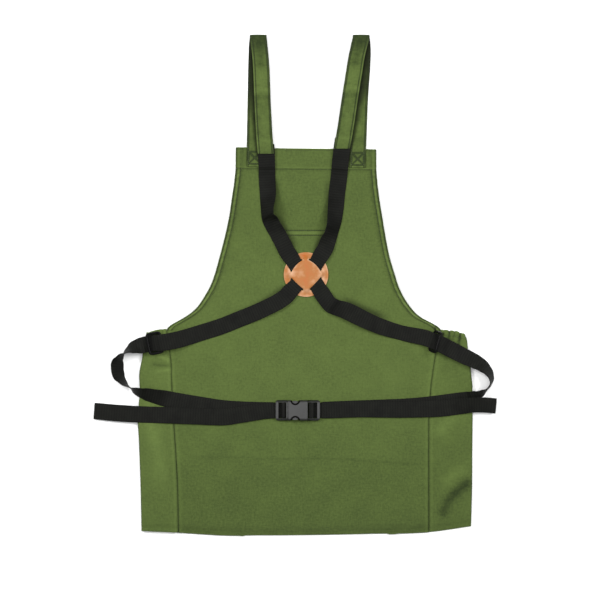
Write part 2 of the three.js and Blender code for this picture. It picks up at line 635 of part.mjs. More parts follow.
// The canvas loop round a ring's inner bar, about the bar, with both its ends inwards.
function tabStations() {
  const wrap = (RING_WIRE + CANVAS) / 2 + SEAT;
  const upper = CANVAS + SEAT - wrap;
  const inward = (share) => -share * RING_TAB_LENGTH;
  const points = [[inward(1), -wrap], [inward(0.5), -wrap]];
  for (const degrees of [-90, -54, -18, 18, 54, 90]) {
    const angle = THREE.MathUtils.degToRad(degrees);
    points.push([wrap * Math.cos(angle), wrap * Math.sin(angle)]);
  }
  points.push([inward(0.2), 0.85 * wrap], [inward(0.45), THREE.MathUtils.lerp(upper, wrap, 0.4)]);
  points.push([inward(0.75), upper], [inward(1), upper]);
  return points.map(([x, z]) => ({
    middle: new THREE.Vector3(x, 0, z),
    across: new THREE.Vector3(0, 1, 0),
  }));
}

function addRing(name, { side, across, down, turn, tilt }) {
  const ring = addPlastic(`side_ring_${name}`, ringGeometry());
  const tab = addCanvas(`ring_tab_${name}`, bandGeometry(tabStations(), RING_TAB_WIDTH, CANVAS));
  const heading = THREE.MathUtils.degToRad(side > 0 ? turn : 180 + turn);
  ring.rotation.set(0, -THREE.MathUtils.degToRad(tilt), heading, 'ZYX');
  tab.rotation.z = heading;
  const barLevel = BACK_TOP + SEAT + CANVAS + SEAT + RING_WIRE / 2;
  for (const piece of [ring, tab]) piece.position.set(widthAt(across), heightUp(down), barLevel);
}

// Levels and places of the buckle, along X from its middle.
const UNDER_BUCKLE = Math.max(2 * SECOND_LAYER + BUCKLE_FRAME / 2, HOUSING_DEPTH / 2);
const FRAME_MIDDLE = BACK_TOP + SEAT + UNDER_BUCKLE;
const HOUSING_HALF = HOUSING_LENGTH / 2;
const FRAME_LENGTH = (BUCKLE_LENGTH - HOUSING_LENGTH) / 2;
const SLOT_LENGTH = (FRAME_LENGTH - END_BAR - MIDDLE_BAR) / 2;
const BAR_PLACE = HOUSING_HALF + SLOT_LENGTH + MIDDLE_BAR / 2;
const SLOT_WIDTH = WEBBING_WIDTH + 2 * BUCKLE_PLAY;
const CAVITY_HALF = BUCKLE_WIDTH / 2 - HOUSING_WALL - 2 * BUCKLE_PLAY;
const CAVITY_DEPTH = HOUSING_DEPTH - 2 * HOUSING_WALL;
const CAVITY_LENGTH = 0.8 * HOUSING_LENGTH;
const SCOOP_PLACE = -0.12 * HOUSING_LENGTH;

function solid(geometry) {
  const bare = merged(geometry.index ? geometry.toNonIndexed() : geometry);
  return new wasm.Manifold(
    new wasm.Mesh({
      numProp: 3,
      vertProperties: new Float32Array(bare.attributes.position.array),
      triVerts: new Uint32Array(bare.index.array),
    }),
  );
}

function fromSolid(body) {
  const mesh = body.getMesh();
  const geometry = new THREE.BufferGeometry();
  geometry.setAttribute('position', new THREE.BufferAttribute(mesh.vertProperties, 3));
  geometry.setIndex(new THREE.BufferAttribute(mesh.triVerts, 1));
  return geometry;
}

function boxSolid(lengthX, lengthY, lengthZ, x, y, z) {
  return solid(new THREE.BoxGeometry(lengthX, lengthY, lengthZ).translate(x, y, z));
}

// The leather patch: a disc with four slots round a middle raised over the crossing webbing.
function patchGeometry() {
  const inner = PATCH_MIDDLE / 2;
  const outer = inner + PATCH_SLOT;
  const half = (WEBBING_WIDTH + SLOT_PLAY) / 2;
  const rim = PATCH_DIAMETER / 2;
  const raise = OVER_RIM + SECOND_LAYER;
  const stops = [half, (half + inner) / 2, inner, outer, (outer + rim) / 2, rim + 1];
  const grid = [...stops.map((stop) => -stop).reverse(), ...stops];
  const sheet = slab(grid, grid, (x, y, face) => {
    const near = Math.max(Math.abs(x), Math.abs(y));
    const beside = Math.min(Math.abs(x), Math.abs(y));
    const slotted = 1 - THREE.MathUtils.smoothstep(near, inner, outer);
    const bridged = 1 - THREE.MathUtils.smoothstep(near + beside, inner + half, 2 * outer);
    const corner = THREE.MathUtils.smoothstep(beside, half, inner);
    const height = raise * THREE.MathUtils.lerp(slotted, bridged, corner);
    return new THREE.Vector3(x, y, height + face * LEATHER);
  });
  const disc = new THREE.CylinderGeometry(rim, rim, 4 * raise, 48).rotateX(Math.PI / 2);
  let body = solid(sheet).intersect(solid(disc));
  const reach = inner + PATCH_SLOT / 2;
  for (const sign of [-1, 1]) {
    body = body.subtract(boxSolid(PATCH_SLOT, 2 * half, 4 * raise, sign * reach, 0, 0));
    body = body.subtract(boxSolid(2 * half, PATCH_SLOT, 4 * raise, 0, sign * reach, 0));
  }
  return fromSolid(body);
}

// A plate in the buckle's plane, extruded evenly to both sides of it.
function plateSolid(shape, depth, bevel) {
  const geometry = new THREE.ExtrudeGeometry(shape, {
    depth: depth - 2 * bevel,
    bevelEnabled: bevel > 0,
    bevelThickness: bevel,
    bevelSize: bevel,
    bevelOffset: -bevel,
    bevelSegments: 2,
    curveSegments: 6,
  });
  return solid(geometry.translate(0, 0, bevel - depth / 2));
}

function roundedOutline(fromX, toX, halfY, radius) {
  const outline = new THREE.Shape();
  outline.moveTo(fromX, -halfY);
  outline.lineTo(toX - radius, -halfY);
  outline.absarc(toX - radius, -halfY + radius, radius, -Math.PI / 2, 0, false);
  outline.absarc(toX - radius, halfY - radius, radius, 0, Math.PI / 2, false);
  outline.lineTo(fromX, halfY);
  return outline;
}

// The ladder frame at one end of the buckle, with its two webbing slots and its middle bar.
function frameSolid() {
  const end = BUCKLE_LENGTH / 2;
  const outline = roundedOutline(HOUSING_HALF - HOUSING_WALL, end, BUCKLE_WIDTH / 2, 4);
  const slots = [HOUSING_HALF, end - END_BAR];
  const window = (slots[1] - slots[0]) / 2;
  const cut = boxSolid(2 * window, SLOT_WIDTH, 2 * BUCKLE_FRAME, slots[0] + window, 0, 0);
  const bar = new THREE.CylinderGeometry(MIDDLE_BAR / 2, MIDDLE_BAR / 2, SLOT_WIDTH + 2, 10);
  return plateSolid(outline, BUCKLE_FRAME, 0.8).subtract(cut).add(solid(bar.translate(BAR_PLACE, 0, 0)));
}

// The housing: a hollow rounded block with a scoop in each side that shows the prongs.
function housingGeometry() {
  const outline = roundedOutline(-HOUSING_HALF, HOUSING_HALF, BUCKLE_WIDTH / 2, 2);
  let body = plateSolid(outline, HOUSING_DEPTH, 1.4);
  for (const sign of [-1, 1]) {
    const scoop = new THREE.CylinderGeometry(SCOOP_RADIUS, SCOOP_RADIUS, 2 * HOUSING_DEPTH, 24);
    scoop.rotateX(Math.PI / 2).translate(SCOOP_PLACE, sign * BUCKLE_WIDTH / 2, 0);
    body = body.subtract(solid(scoop));
  }
  const cavityX = -HOUSING_HALF + CAVITY_LENGTH / 2 - 1;
  body = body.subtract(boxSolid(CAVITY_LENGTH + 2, 2 * CAVITY_HALF, CAVITY_DEPTH, cavityX, 0, 0));
  return fromSolid(body.add(frameSolid()));
}

// The prongs' half: its frame, its root, a middle guide and two springy prongs with shoulders.
function prongsGeometry() {
  const root = -HOUSING_HALF;
  const shoulder = 0.7 * SCOOP_RADIUS;
  const inside = CAVITY_HALF - 2 * BUCKLE_PLAY;
  const outside = CAVITY_HALF + 0.9 * HOUSING_WALL;
  const tip = 0.2 * HOUSING_LENGTH;
  const prong = new THREE.Shape();
  prong.moveTo(root - HOUSING_WALL, 0.5 * CAVITY_HALF);
  prong.lineTo(root - HOUSING_WALL, 0.78 * CAVITY_HALF);
  prong.lineTo(SCOOP_PLACE - 1.2 * shoulder, inside);
  prong.quadraticCurveTo(SCOOP_PLACE - shoulder, outside, SCOOP_PLACE - 0.5 * shoulder, outside);
  prong.lineTo(SCOOP_PLACE + 0.55 * shoulder, outside);
  prong.lineTo(SCOOP_PLACE + shoulder, inside);
  prong.lineTo(tip, 0.66 * CAVITY_HALF);
  prong.lineTo(tip, 0.45 * CAVITY_HALF);
  prong.lineTo(SCOOP_PLACE, 0.55 * CAVITY_HALF);
  const depth = CAVITY_DEPTH - 2 * BUCKLE_PLAY;
  const upperProng = plateSolid(prong, depth, 0);
  const guideLength = 0.6 * HOUSING_LENGTH;
  const guideWidth = 2 * HOUSING_WALL;
  const guideX = root - HOUSING_WALL + guideLength / 2;
  const guide = boxSolid(guideLength, guideWidth, depth, guideX, 0, 0);
  const rootX = root - HOUSING_WALL / 2 - SEAT;
  const rootWidth = (SLOT_WIDTH + BUCKLE_WIDTH) / 2;
  const rootBlock = boxSolid(HOUSING_WALL, rootWidth, depth, rootX, 0, 0);
  const cut = boxSolid(HOUSING_LENGTH, BUCKLE_WIDTH + 2, HOUSING_DEPTH, -SEAT, 0, 0);
  const frame = frameSolid().mirror([1, 0, 0]).subtract(cut);
  const body = frame.add(upperProng).add(upperProng.mirror([0, 1, 0])).add(guide).add(rootBlock);
  return fromSolid(body);
}

// Stations of the webbing round the middle bar of one frame, from underneath to the tail.
function wrapStations(side) {
  const middleX = widthAt(BUCKLE_PLACE.across);
  const y = heightUp(BUCKLE_PLACE.down);
  const low = BACK_TOP + SEAT + WEBBING / 2;
  const radius = MIDDLE_BAR / 2 + SEAT + WEBBING / 2;
  const bend = 1.3 * WEBBING;
  const atX = (out) => middleX + side * out;
  const points = [[atX(BAR_PLACE + SLOT_LENGTH), low], [atX(BAR_PLACE - radius + bend), low]];
  const corner = (fromX, fromZ, angles) => angles.forEach((degrees) => {
    const angle = THREE.MathUtils.degToRad(degrees);
    points.push([atX(fromX + bend * Math.cos(angle)), fromZ + bend * Math.sin(angle)]);
  });
  corner(BAR_PLACE - radius + bend, low + bend, [-110, -135, -160, -180]);
  for (const degrees of [180, 150, 120, 90, 60, 30, 0]) {
    const angle = THREE.MathUtils.degToRad(degrees);
    const x = atX(BAR_PLACE + radius * Math.cos(angle));
    points.push([x, FRAME_MIDDLE + radius * Math.sin(angle)]);
  }
  const tailZ = low + SECOND_LAYER;
  corner(BAR_PLACE + radius + bend, tailZ + bend, [180, 205, 230, 255, 270]);
  return points.map(([x, z]) => ({
    middle: new THREE.Vector3(x, y, z),
    across: new THREE.Vector3(0, side, 0),
  }));
}

function runEnd(side) {
  const out = BAR_PLACE + SLOT_LENGTH + SEAT;
  const x = widthAt(BUCKLE_PLACE.across) + side * out;
  const z = BACK_TOP + SEAT + WEBBING / 2;
  return {
    middle: new THREE.Vector3(x, heightUp(BUCKLE_PLACE.down), z),
    across: new THREE.Vector3(0, side, 0).negate(),
  };
}

addCanvas('apron_body', bodyGeometry());
addCanvas('pouch_front', pouchGeometry());
addCanvas('side_gusset_left', gussetGeometry(-1, 2, 0.45));
addCanvas('side_gusset_right', gussetGeometry(1, 4, 0.12));
addCanvas('shoulder_strap_left', bandGeometry(strapStations(LEFT_STRAP), STRAP_WIDTH, STRAP));
addCanvas('shoulder_strap_right', bandGeometry(strapStations(RIGHT_STRAP), STRAP_WIDTH, STRAP));

const addBand = (name, stations) => addWebbing(name, bandGeometry(stations, WEBBING_WIDTH, WEBBING));
const leftCross = routeStations(LEFT_CROSS, 3, LEFT_HEADING);
const rightCross = routeStations(RIGHT_CROSS, 3, RIGHT_HEADING);
const leftWaist = routeStations(LEFT_WAIST, 3).slice(1);
const rightWaist = routeStations(RIGHT_WAIST, 3).slice(1);
addBand('cross_webbing_left', leftCross);
addBand('cross_webbing_right', rightCross);
addBand('waist_webbing_left', [carriedOn(rightCross), ...leftWaist, runEnd(-1)]);
addBand('waist_webbing_right', [carriedOn(leftCross), ...rightWaist, runEnd(1)]);
addBand('webbing_tail_left', [...wrapStations(-1), ...routeStations(LEFT_TAIL, 3)]);
addBand('webbing_tail_right', [...wrapStations(1), ...routeStations(RIGHT_TAIL, 3)]);

const patch = addPiece('leather_patch', patchGeometry(), LEATHER_TAN, 0.5);
patch.position.set(widthAt(PATCH_PLACE.across), heightUp(PATCH_PLACE.down), BACK_TOP + SEAT);
patch.rotation.z = Math.PI / 4 + THREE.MathUtils.degToRad(PATCH_TURN);

addRing('left', LEFT_RING);
addRing('right', RIGHT_RING);

for (const [name, geometry] of [
  ['buckle_prongs', prongsGeometry()],
  ['buckle_housing', housingGeometry()],
]) {
  const half = addPlastic(name, geometry);
  half.position.set(widthAt(BUCKLE_PLACE.across), heightUp(BUCKLE_PLACE.down), FRAME_MIDDLE);
}

// The origin moves to the floor under the middle of the whole outline.
const outline = new THREE.Box3().setFromObject(apron);
const centre = outline.getCenter(new THREE.Vector3());
apron.position.set(-centre.x, -centre.y, -outline.min.z);

export default apron;
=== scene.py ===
"""Gardening apron of green canvas, laid flat with its back upwards, dressed round its frame.

Lengths are metres in the frame's own axes: +X to the right, +Y towards the neck, +Z up. Real sizes
are written in millimetres and multiplied by MM.
"""

from __future__ import annotations

import logging
import math
from collections.abc import Iterator, Sequence
from contextlib import contextmanager
from dataclasses import dataclass, field
from enum import Enum
from functools import partial

import bmesh
import bpy
import numpy as np
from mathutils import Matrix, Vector
from mathutils.bvhtree import BVHTree


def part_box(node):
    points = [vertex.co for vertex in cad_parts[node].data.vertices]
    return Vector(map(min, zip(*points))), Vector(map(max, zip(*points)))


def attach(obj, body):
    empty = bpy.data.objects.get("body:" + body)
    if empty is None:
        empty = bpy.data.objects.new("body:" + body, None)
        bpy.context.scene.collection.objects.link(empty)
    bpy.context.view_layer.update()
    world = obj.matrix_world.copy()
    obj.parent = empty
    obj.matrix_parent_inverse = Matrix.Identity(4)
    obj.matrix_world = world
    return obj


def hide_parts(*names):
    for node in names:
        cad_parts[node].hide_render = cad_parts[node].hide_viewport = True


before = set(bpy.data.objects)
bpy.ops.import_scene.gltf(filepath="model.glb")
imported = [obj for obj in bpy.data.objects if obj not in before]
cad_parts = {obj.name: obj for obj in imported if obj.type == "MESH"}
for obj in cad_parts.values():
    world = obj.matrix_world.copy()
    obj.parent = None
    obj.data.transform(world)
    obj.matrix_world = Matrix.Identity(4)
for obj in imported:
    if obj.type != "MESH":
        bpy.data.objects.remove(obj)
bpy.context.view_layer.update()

MM = 0.001
# Points of the frame that lie nearer to each other than this are one point.
SAME_PLACE = 2e-3 * MM
BODY = "root"
LOG = logging.getLogger("gardening_apron")

HALF_CANVAS = 0.6 * MM
# How wide a row of stitches pulls the cloth in, and how deep the stitches lie in its face.
PULL = 0.8 * MM
STITCH_DEPTH = 0.05 * MM

Array = np.ndarray
Seam = Array
Piece = bpy.types.Object
Material = bpy.types.Material
Tree = bpy.types.NodeTree
Socket = bpy.types.NodeSocket


class Slot(Enum):
    """Material slots of the record, one for each kind of finish."""

    CANVAS = "canvas"
    WEBBING = "webbing"
    LEATHER = "leather"
    BUCKLE = "buckle"
    RING = "ring"


class Side(Enum):
    """The two sides of the apron as it lies, with the sign of their X."""

    LEFT = -1
    RIGHT = 1


# Numbers and curves


def smoothstep(value: Array | float, start: float, end: float) -> Array:
    """Rise smoothly from 0 at the start to 1 at the end.

    Args:
        value: Where the curve is read.
        start: Value at which it leaves 0.
        end: Value at which it reaches 1.

    Returns:
        The curve's height at each value.
    """
    t = np.clip((np.asarray(value, float) - start) / (end - start), 0, 1)
    return t * t * (3 - 2 * t)


def bump(distance: Array | float, width: float) -> Array:
    """Give a round hump of height 1 that is about twice its width across."""
    return np.exp(-np.square(np.asarray(distance, float) / width))


def soft_noise(x: Array, y: Array, size: float, seed: int) -> Array:
    """Read smooth seeded noise from -1 to 1.

    Args:
        x: First coordinate of the places.
        y: Second coordinate of the places.
        size: Distance between the noise's own points, in the same units.
        seed: Seed of the noise.

    Returns:
        The noise at each place.
    """
    count = 64
    lattice = np.random.default_rng(seed).uniform(-1, 1, (count, count))
    u, v = np.asarray(x, float) / size + count / 2, np.asarray(y, float) / size + count / 2
    i, j = np.floor(u).astype(int), np.floor(v).astype(int)
    s, t = smoothstep(u - i, 0, 1), smoothstep(v - j, 0, 1)
    near = lattice[i % count, j % count] * (1 - s) + lattice[(i + 1) % count, j % count] * s
    far = lattice[i % count, (j + 1) % count] * (1 - s) + lattice[(i + 1) % count, (j + 1) % count] * s
    return near * (1 - t) + far * t


def smoothed(values: Array, spread: float) -> Array:
    """Even out a row of values.

    Args:
        values: The row.
        spread: Width of the bell curve that evens it out, in steps of the row.

    Returns:
        The evened row, as long as before.
    """
    reach = max(1, int(3 * spread))
    weights = bump(np.arange(-reach, reach + 1), spread * math.sqrt(2))
    slopes = np.arange(1, reach + 1)
    before = values[0] - (values[1] - values[0]) * slopes[::-1]
    after = values[-1] + (values[-1] - values[-2]) * slopes
    return np.convolve(np.concatenate([before, values, after]), weights / weights.sum(), "valid")


def curve_through(points: Array, knots: Array, at: Array) -> Array:
    """Follow a smooth curve through points.

    Args:
        points: One row for each point.
        knots: Where on the curve each point lies, rising.
        at: Where the curve is read.

    Returns:
        One row for each reading.
    """
    slopes = np.gradient(points, knots, axis=0)
    i = np.clip(np.searchsorted(knots, at, "right") - 1, 0, len(knots) - 2)
    span = (knots[i + 1] - knots[i])[:, None]
    t = (at - knots[i])[:, None] / span
    start, end = points[i], points[i + 1]
    first, second = slopes[i] * span, slopes[i + 1] * span
    rise = end - start
    return start + t * (first + t * (3 * rise - 2 * first - second + t * (first + second - 2 * rise)))


def unit(vectors: Array) -> Array:
    """Scale each vector to length 1."""
    return vectors / np.maximum(np.linalg.norm(vectors, axis=-1, keepdims=True), 1e-12)


def spaced(stops: Sequence[tuple[float, float]], end: float) -> Array:
    """Place stops from 0 to an end with a step that changes on the way.

    Args:
        stops: Pairs of where a step starts to hold and the step itself.
        end: Where the last stop lies.

    Returns:
        The stops, rising from 0 to the end.
    """
    parts = []
    for (start, step), (finish, _) in zip(stops, [*stops[1:], (end, 0)]):
        count = max(1, round((finish - start) / step))
        parts.append(np.linspace(start, finish, count, endpoint=False))
    return np.append(np.concatenate(parts), end)


def nearest(values: Array, wanted: float) -> int:
    """Find which of some values lies nearest to a wanted one."""
    return int(np.argmin(np.abs(values - wanted)))


# The frame's own shapes


def places_of(mesh: bpy.types.Mesh) -> Array:
    """Read the places of a mesh's vertices."""
    points = np.empty(len(mesh.vertices) * 3)
    mesh.vertices.foreach_get("co", points)
    return points.reshape(-1, 3)


class NodeShape:
    """The solid of one node of the frame, with its doubles merged."""

    def __init__(self, node: str) -> None:
        """Read the node's triangles.

        Args:
            node: Name of the node.
        """
        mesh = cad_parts[node].data
        mesh.calc_loop_triangles()
        points = places_of(mesh)
        corners = np.empty(len(mesh.loop_triangles) * 3, int)
        mesh.loop_triangles.foreach_get("vertices", corners)
        spots = np.round(points / SAME_PLACE).astype(int)
        _, first, same = np.unique(spots, axis=0, return_index=True, return_inverse=True)
        self.points = points[first]
        self.triangles = same.reshape(-1)[corners].reshape(-1, 3)
        self.tree = BVHTree.FromPolygons(self.points.tolist(), self.triangles.tolist())
        self.edges = np.concatenate([self.triangles[:, [k, (k + 1) % 3]] for k in range(3)])

    def span(self, axis: int, value: float) -> tuple[float, float]:
        """Give how far the solid reaches in an upright plane.

        Args:
            axis: 0 for a plane across X, 1 for one across Y.
            value: Where the plane lies on that axis.

        Returns:
            The lowest and the highest place on the other axis.
        """
        a, b = self.points[self.edges[:, 0]], self.points[self.edges[:, 1]]
        crossing = (a[:, axis] - value) * (b[:, axis] - value) <= 0
        crossing &= np.abs(a[:, axis] - b[:, axis]) > 1e-9
        a, b = a[crossing], b[crossing]
        share = (value - a[:, axis]) / (b[:, axis] - a[:, axis])
        met = a[:, 1 - axis] + (b[:, 1 - axis] - a[:, 1 - axis]) * share
        return float(met.min()), float(met.max())

    def heights(self, x: Array, y: Array, upper: bool) -> Array:
        """Read the height of the solid's upper or lower face.

        Args:
            x: X of the places.
            y: Y of the places.
            upper: Whether the upper face is read.

        Returns:
            The height at each place, or at the nearest one on the solid.
        """
        way = -1.0 if upper else 1.0
        flat = []
        for place in zip(x.ravel(), y.ravel()):
            met = self.tree.ray_cast(Vector((*place, -way)), Vector((0, 0, way)))[0]
            if met is None:
                met = self.tree.find_nearest(Vector((*place, way * -0.02)))[0]
            flat.append(met.z)
        return np.array(flat).reshape(x.shape)


@dataclass
class EdgeLine:
    """An edge as a smooth curve that runs straight on past both its ends."""

    at: Array
    values: Array

    def read(self, where: Array) -> Array:
        """Read the edge, also past both its ends.

        Args:
            where: Places along it.

        Returns:
            Where the edge lies at each of them.
        """
        at, values = self.at, self.values
        first = (values[1] - values[0]) / (at[1] - at[0])
        last = (values[-1] - values[-2]) / (at[-1] - at[-2])
        before, after = np.minimum(where - at[0], 0), np.maximum(where - at[-1], 0)
        return np.interp(where, at, values) + before * first + after * last


# The corners at a panel's top lie no further than this below its highest place.
TOP_BAND = 14 * MM
# How far the laid bottom hem sags below the frame's towards both its sides, and where on the left
# and on the right the sag starts and is full, in millimetres from the middle.
HEM_SAG = 1.6 * MM
SAG_LEFT = (55, 120)
SAG_RIGHT = (105, 220)


class PanelOutline:
    """The four edges of a laid panel, each evened out between its corners."""

    def __init__(self, node: str, spread: float, breaks: bool = False) -> None:
        """Find the panel's corners and edges.

        Args:
            node: Name of the panel's node.
            spread: Distance over which the edges are evened out.
            breaks: Whether the two sides have a corner where they reach furthest.
        """
        self.shape, self.spread = NodeShape(node), spread
        p = self.shape.points
        plus, minus = p[:, 0] + p[:, 1], p[:, 0] - p[:, 1]
        low_left, low_right = p[plus.argmin()], p[minus.argmax()]
        top = p[p[:, 1] > p[:, 1].max() - TOP_BAND]
        high_left = top[(top[:, 0] - top[:, 1]).argmin()]
        high_right = top[(top[:, 0] + top[:, 1]).argmax()]
        turns = [p[p[:, 0].argmin(), 1], p[p[:, 0].argmax(), 1]] if breaks else [None, None]
        self.left = self.edge(1, 0, low_left[1], high_left[1], turns[0])
        self.right = self.edge(1, 1, low_right[1], high_right[1], turns[1])
        self.bottom = self.edge(0, 0, low_left[0], low_right[0])
        at = self.bottom.at / MM
        self.bottom.values -= HEM_SAG * (smoothstep(-at, *SAG_LEFT) + smoothstep(at, *SAG_RIGHT))
        self.top = self.edge(0, 1, high_left[0], high_right[0])

    def edge(self, axis: int, side: int, start: float, end: float, turn: float | None = None) -> EdgeLine:
        """Follow one edge from corner to corner.

        Args:
            axis: 0 to step along X, 1 to step along Y.
            side: 0 for the lower edge, 1 for the upper one.
            start: Where it starts.
            end: Where it ends.
            turn: Where it has a corner on its way, if anywhere.

        Returns:
            The edge.
        """
        stops = [start, end] if turn is None else [start, turn, end]
        step, margin = 1.5 * MM, 0.4 * MM
        ats, values = [], []
        for a, b in zip(stops, stops[1:]):
            at = np.linspace(a + margin, b - margin, max(4, round((b - a) / step)))
            met = np.array([self.shape.span(axis, value)[side] for value in at])
            ats.append(at)
            values.append(smoothed(met, self.spread / step))
        return EdgeLine(np.concatenate(ats), np.concatenate(values))


@dataclass
class BandLine:
    """A band's middle line, the direction of its width, its width and its thickness."""

    middle: Array
    across: Array
    width: float
    thickness: float

    @classmethod
    def of_node(cls, node: str, width: float, thickness: float) -> BandLine:
        """Walk the cross sections of a band of the frame from end to end.

        Args:
            node: Name of the band's node.
            width: The band's width.
            thickness: The band's thickness.

        Returns:
            The band's line, one row for each cross section.
        """
        shape = NodeShape(node)
        # Points pair up through the thickness, pairs pair up over the width, and each such four is
        # one cross section. The walk then goes from an end to the neighbour not yet passed.
        near: dict[int, set[int]] = {i: set() for i in range(len(shape.points))}
        for a, b in shape.edges:
            near[int(a)].add(int(b))
            near[int(b)].add(int(a))

        def partner(points: Array, around: dict[int, set[int]], length: float) -> dict[int, int]:
            """Pair each point with the neighbour that lies nearest to a length away."""
            return {
                i: min(others, key=lambda j: abs(np.linalg.norm(points[i] - points[j]) - length))
                for i, others in around.items()
            }

        through = partner(shape.points, near, thickness)
        pairs = sorted({tuple(sorted(pair)) for pair in through.items()})
        owner = {point: k for k, pair in enumerate(pairs) for point in pair}
        sides = np.array([shape.points[list(pair)].mean(0) for pair in pairs])
        beside = {k: {owner[j] for i in pair for j in near[i]} - {k} for k, pair in enumerate(pairs)}
        over = partner(sides, beside, width)
        rings = sorted({tuple(sorted(pair)) for pair in over.items()})
        holder = {side: k for k, ring in enumerate(rings) for side in ring}
        linked = {k: {holder[j] for i in ring for j in beside[i]} - {k} for k, ring in enumerate(rings)}
        walk = [min((k for k in linked if len(linked[k]) == 1), key=lambda k: tuple(sides[rings[k][0]]))]
        while len(walk) < len(rings):
            walk.append(next(k for k in linked[walk[-1]] if k not in walk))
        middle = np.array([sides[list(rings[k])].mean(0) for k in walk])
        across = unit(np.array([sides[rings[k][1]] - sides[rings[k][0]] for k in walk]))
        for i in range(1, len(across)):
            if across[i] @ across[i - 1] < 0:
                across[i] *= -1
        return cls(middle, across, width, thickness)

    def resampled(self, step: float) -> BandLine:
        """Give the same band with even, closer cross sections.

        Args:
            step: Distance between them.

        Returns:
            The new band.
        """
        knots = self.along()
        at = np.linspace(0, knots[-1], max(2, round(knots[-1] / step)) + 1)
        middle = curve_through(self.middle, knots, at)
        across = unit(curve_through(self.across, knots, at))
        return BandLine(middle, across, self.width, self.thickness)

    def turned(self) -> BandLine:
        """Give the same band from its other end."""
        return BandLine(self.middle[::-1], self.across[::-1], self.width, self.thickness)

    def grid(self, offsets: Array) -> Array:
        """Lay columns along the band at some offsets from its middle line."""
        return self.middle[:, None] + self.across[:, None] * offsets[..., None]

    def along(self) -> Array:
        """Give how far along the band each cross section lies."""
        lengths = np.linalg.norm(np.diff(self.middle, axis=0), axis=1)
        return np.concatenate([[0], np.cumsum(lengths)])


# The lie of the cloth


@dataclass(frozen=True)
class Fold:
    """A soft ridge or valley along a straight line of the cloth, in millimetres."""

    from_x: float
    from_y: float
    to_x: float
    to_y: float
    width: float
    height: float

    def at(self, x: Array, y: Array) -> Array:
        """Read the fold's height.

        Args:
            x: X of the places, in metres.
            y: Y of the places, in metres.

        Returns:
            The height at each place, in metres.
        """
        start = np.array([self.from_x, self.from_y]) * MM
        line = np.array([self.to_x, self.to_y]) * MM - start
        length = float(np.hypot(*line))
        share = ((x - start[0]) * line[0] + (y - start[1]) * line[1]) / length**2
        aside = ((x - start[0]) * line[1] - (y - start[1]) * line[0]) / length
        ends = smoothstep(share, -0.1, 0.25) * (1 - smoothstep(share, 0.75, 1.1))
        return self.height * MM * ends * bump(aside, self.width * MM)


BODY_FOLDS = (
    Fold(-176, -281, -55, -285, 2.5, 0.35),
    Fold(-60, -285, 45, -285, 2.2, 0.4),
    Fold(25, -283, 225, -296, 2.5, 0.35),
    Fold(-176, -277, 130, -283, 6, -0.35),
    Fold(60, 30, 160, -40, 16, 0.7),
    Fold(-150, -60, -60, -20, 18, 0.6),
    Fold(-60, -130, 90, -110, 22, -0.6),
    Fold(-180, -330, 180, -345, 26, 0.6),
)
LEFT_FOLDS = (
    Fold(-205, -125, -235, -112, 2.6, 0.8),
    Fold(-203, -133, -238, -130, 2.8, -0.9),
    Fold(-203, -138, -232, -143, 2.6, 0.75),
    Fold(-207, -118, -222, -98, 2.4, -0.75),
    Fold(-246, -190, -215, -330, 12, 0.6),
)
RIGHT_FOLDS = (
    Fold(291, -320, 252, -352, 8, -1.3),
    Fold(256, -348, 240, -382, 8, -1.0),
    Fold(284, -296, 240, -330, 9, 0.5),
    Fold(230, -250, 270, -200, 12, 0.6),
)

# Where the cloth lies in the shade of webbing that stands up from it. The height is the shade's share.
CLOTH_SHADES = (
    Fold(-30, 178, -35, 118, 5.5, 0.42),
    Fold(-37, 126, 4, 58, 6, 0.5),
    Fold(54.5, 180, 50.5, 88, 5.5, 0.42),
    Fold(51, 92, 31, 56, 5, 0.5),
    Fold(-15, 0, -70, -37, 4, 0.42),
    Fold(-60, -28, -125, -58, 3.5, 0.25),
    Fold(76, -22, 152, -56, 6, 0.62),
    Fold(230.5, -64, 231.5, -84, 2.2, 0.8),
)
# Where a webbing folds away from the light.
WEBBING_SHADES = (
    Fold(-47, 262, -30, 90, 15, 0.3),
    Fold(68, 268, 58, 85, 15, 0.36),
    Fold(-33, 122, -55, 105, 1.7, 0.75),
    Fold(48, 98, 70, 87, 7, 0.45),
    Fold(56, -43, 76, -21, 6, 0.5),
    Fold(-238.5, -76, -234.5, -114, 2.6, 0.95),
    Fold(235, -72, 229.5, -114, 3, 0.95),
)


def shade_of(lines: Sequence[Fold], x: Array, y: Array) -> Array:
    """Read how deep in shade places lie beside some lines, from 0 to 1."""
    return np.clip(sum(line.at(x, y) for line in lines) / MM, 0, 1)


# Where the gathers of each mouth fold in, as distances from its seam, and how deep they are.
LEFT_CREASES = ((6 * MM, 0.35), (13 * MM, 0.2), (23 * MM, 0.3))
RIGHT_CREASES = ((4 * MM, 0.5), (13.5 * MM, 1.0), (22.5 * MM, 0.5), (32 * MM, 1.2))

# Where each gusset's fold stands out: depth below the mouth, width and distance in millimetres.
LEFT_BULGES = ((68, 16, 2.4), (143, 30, 1.6))
RIGHT_BULGES = ((16, 13, 2), (7, 12, 1.7))


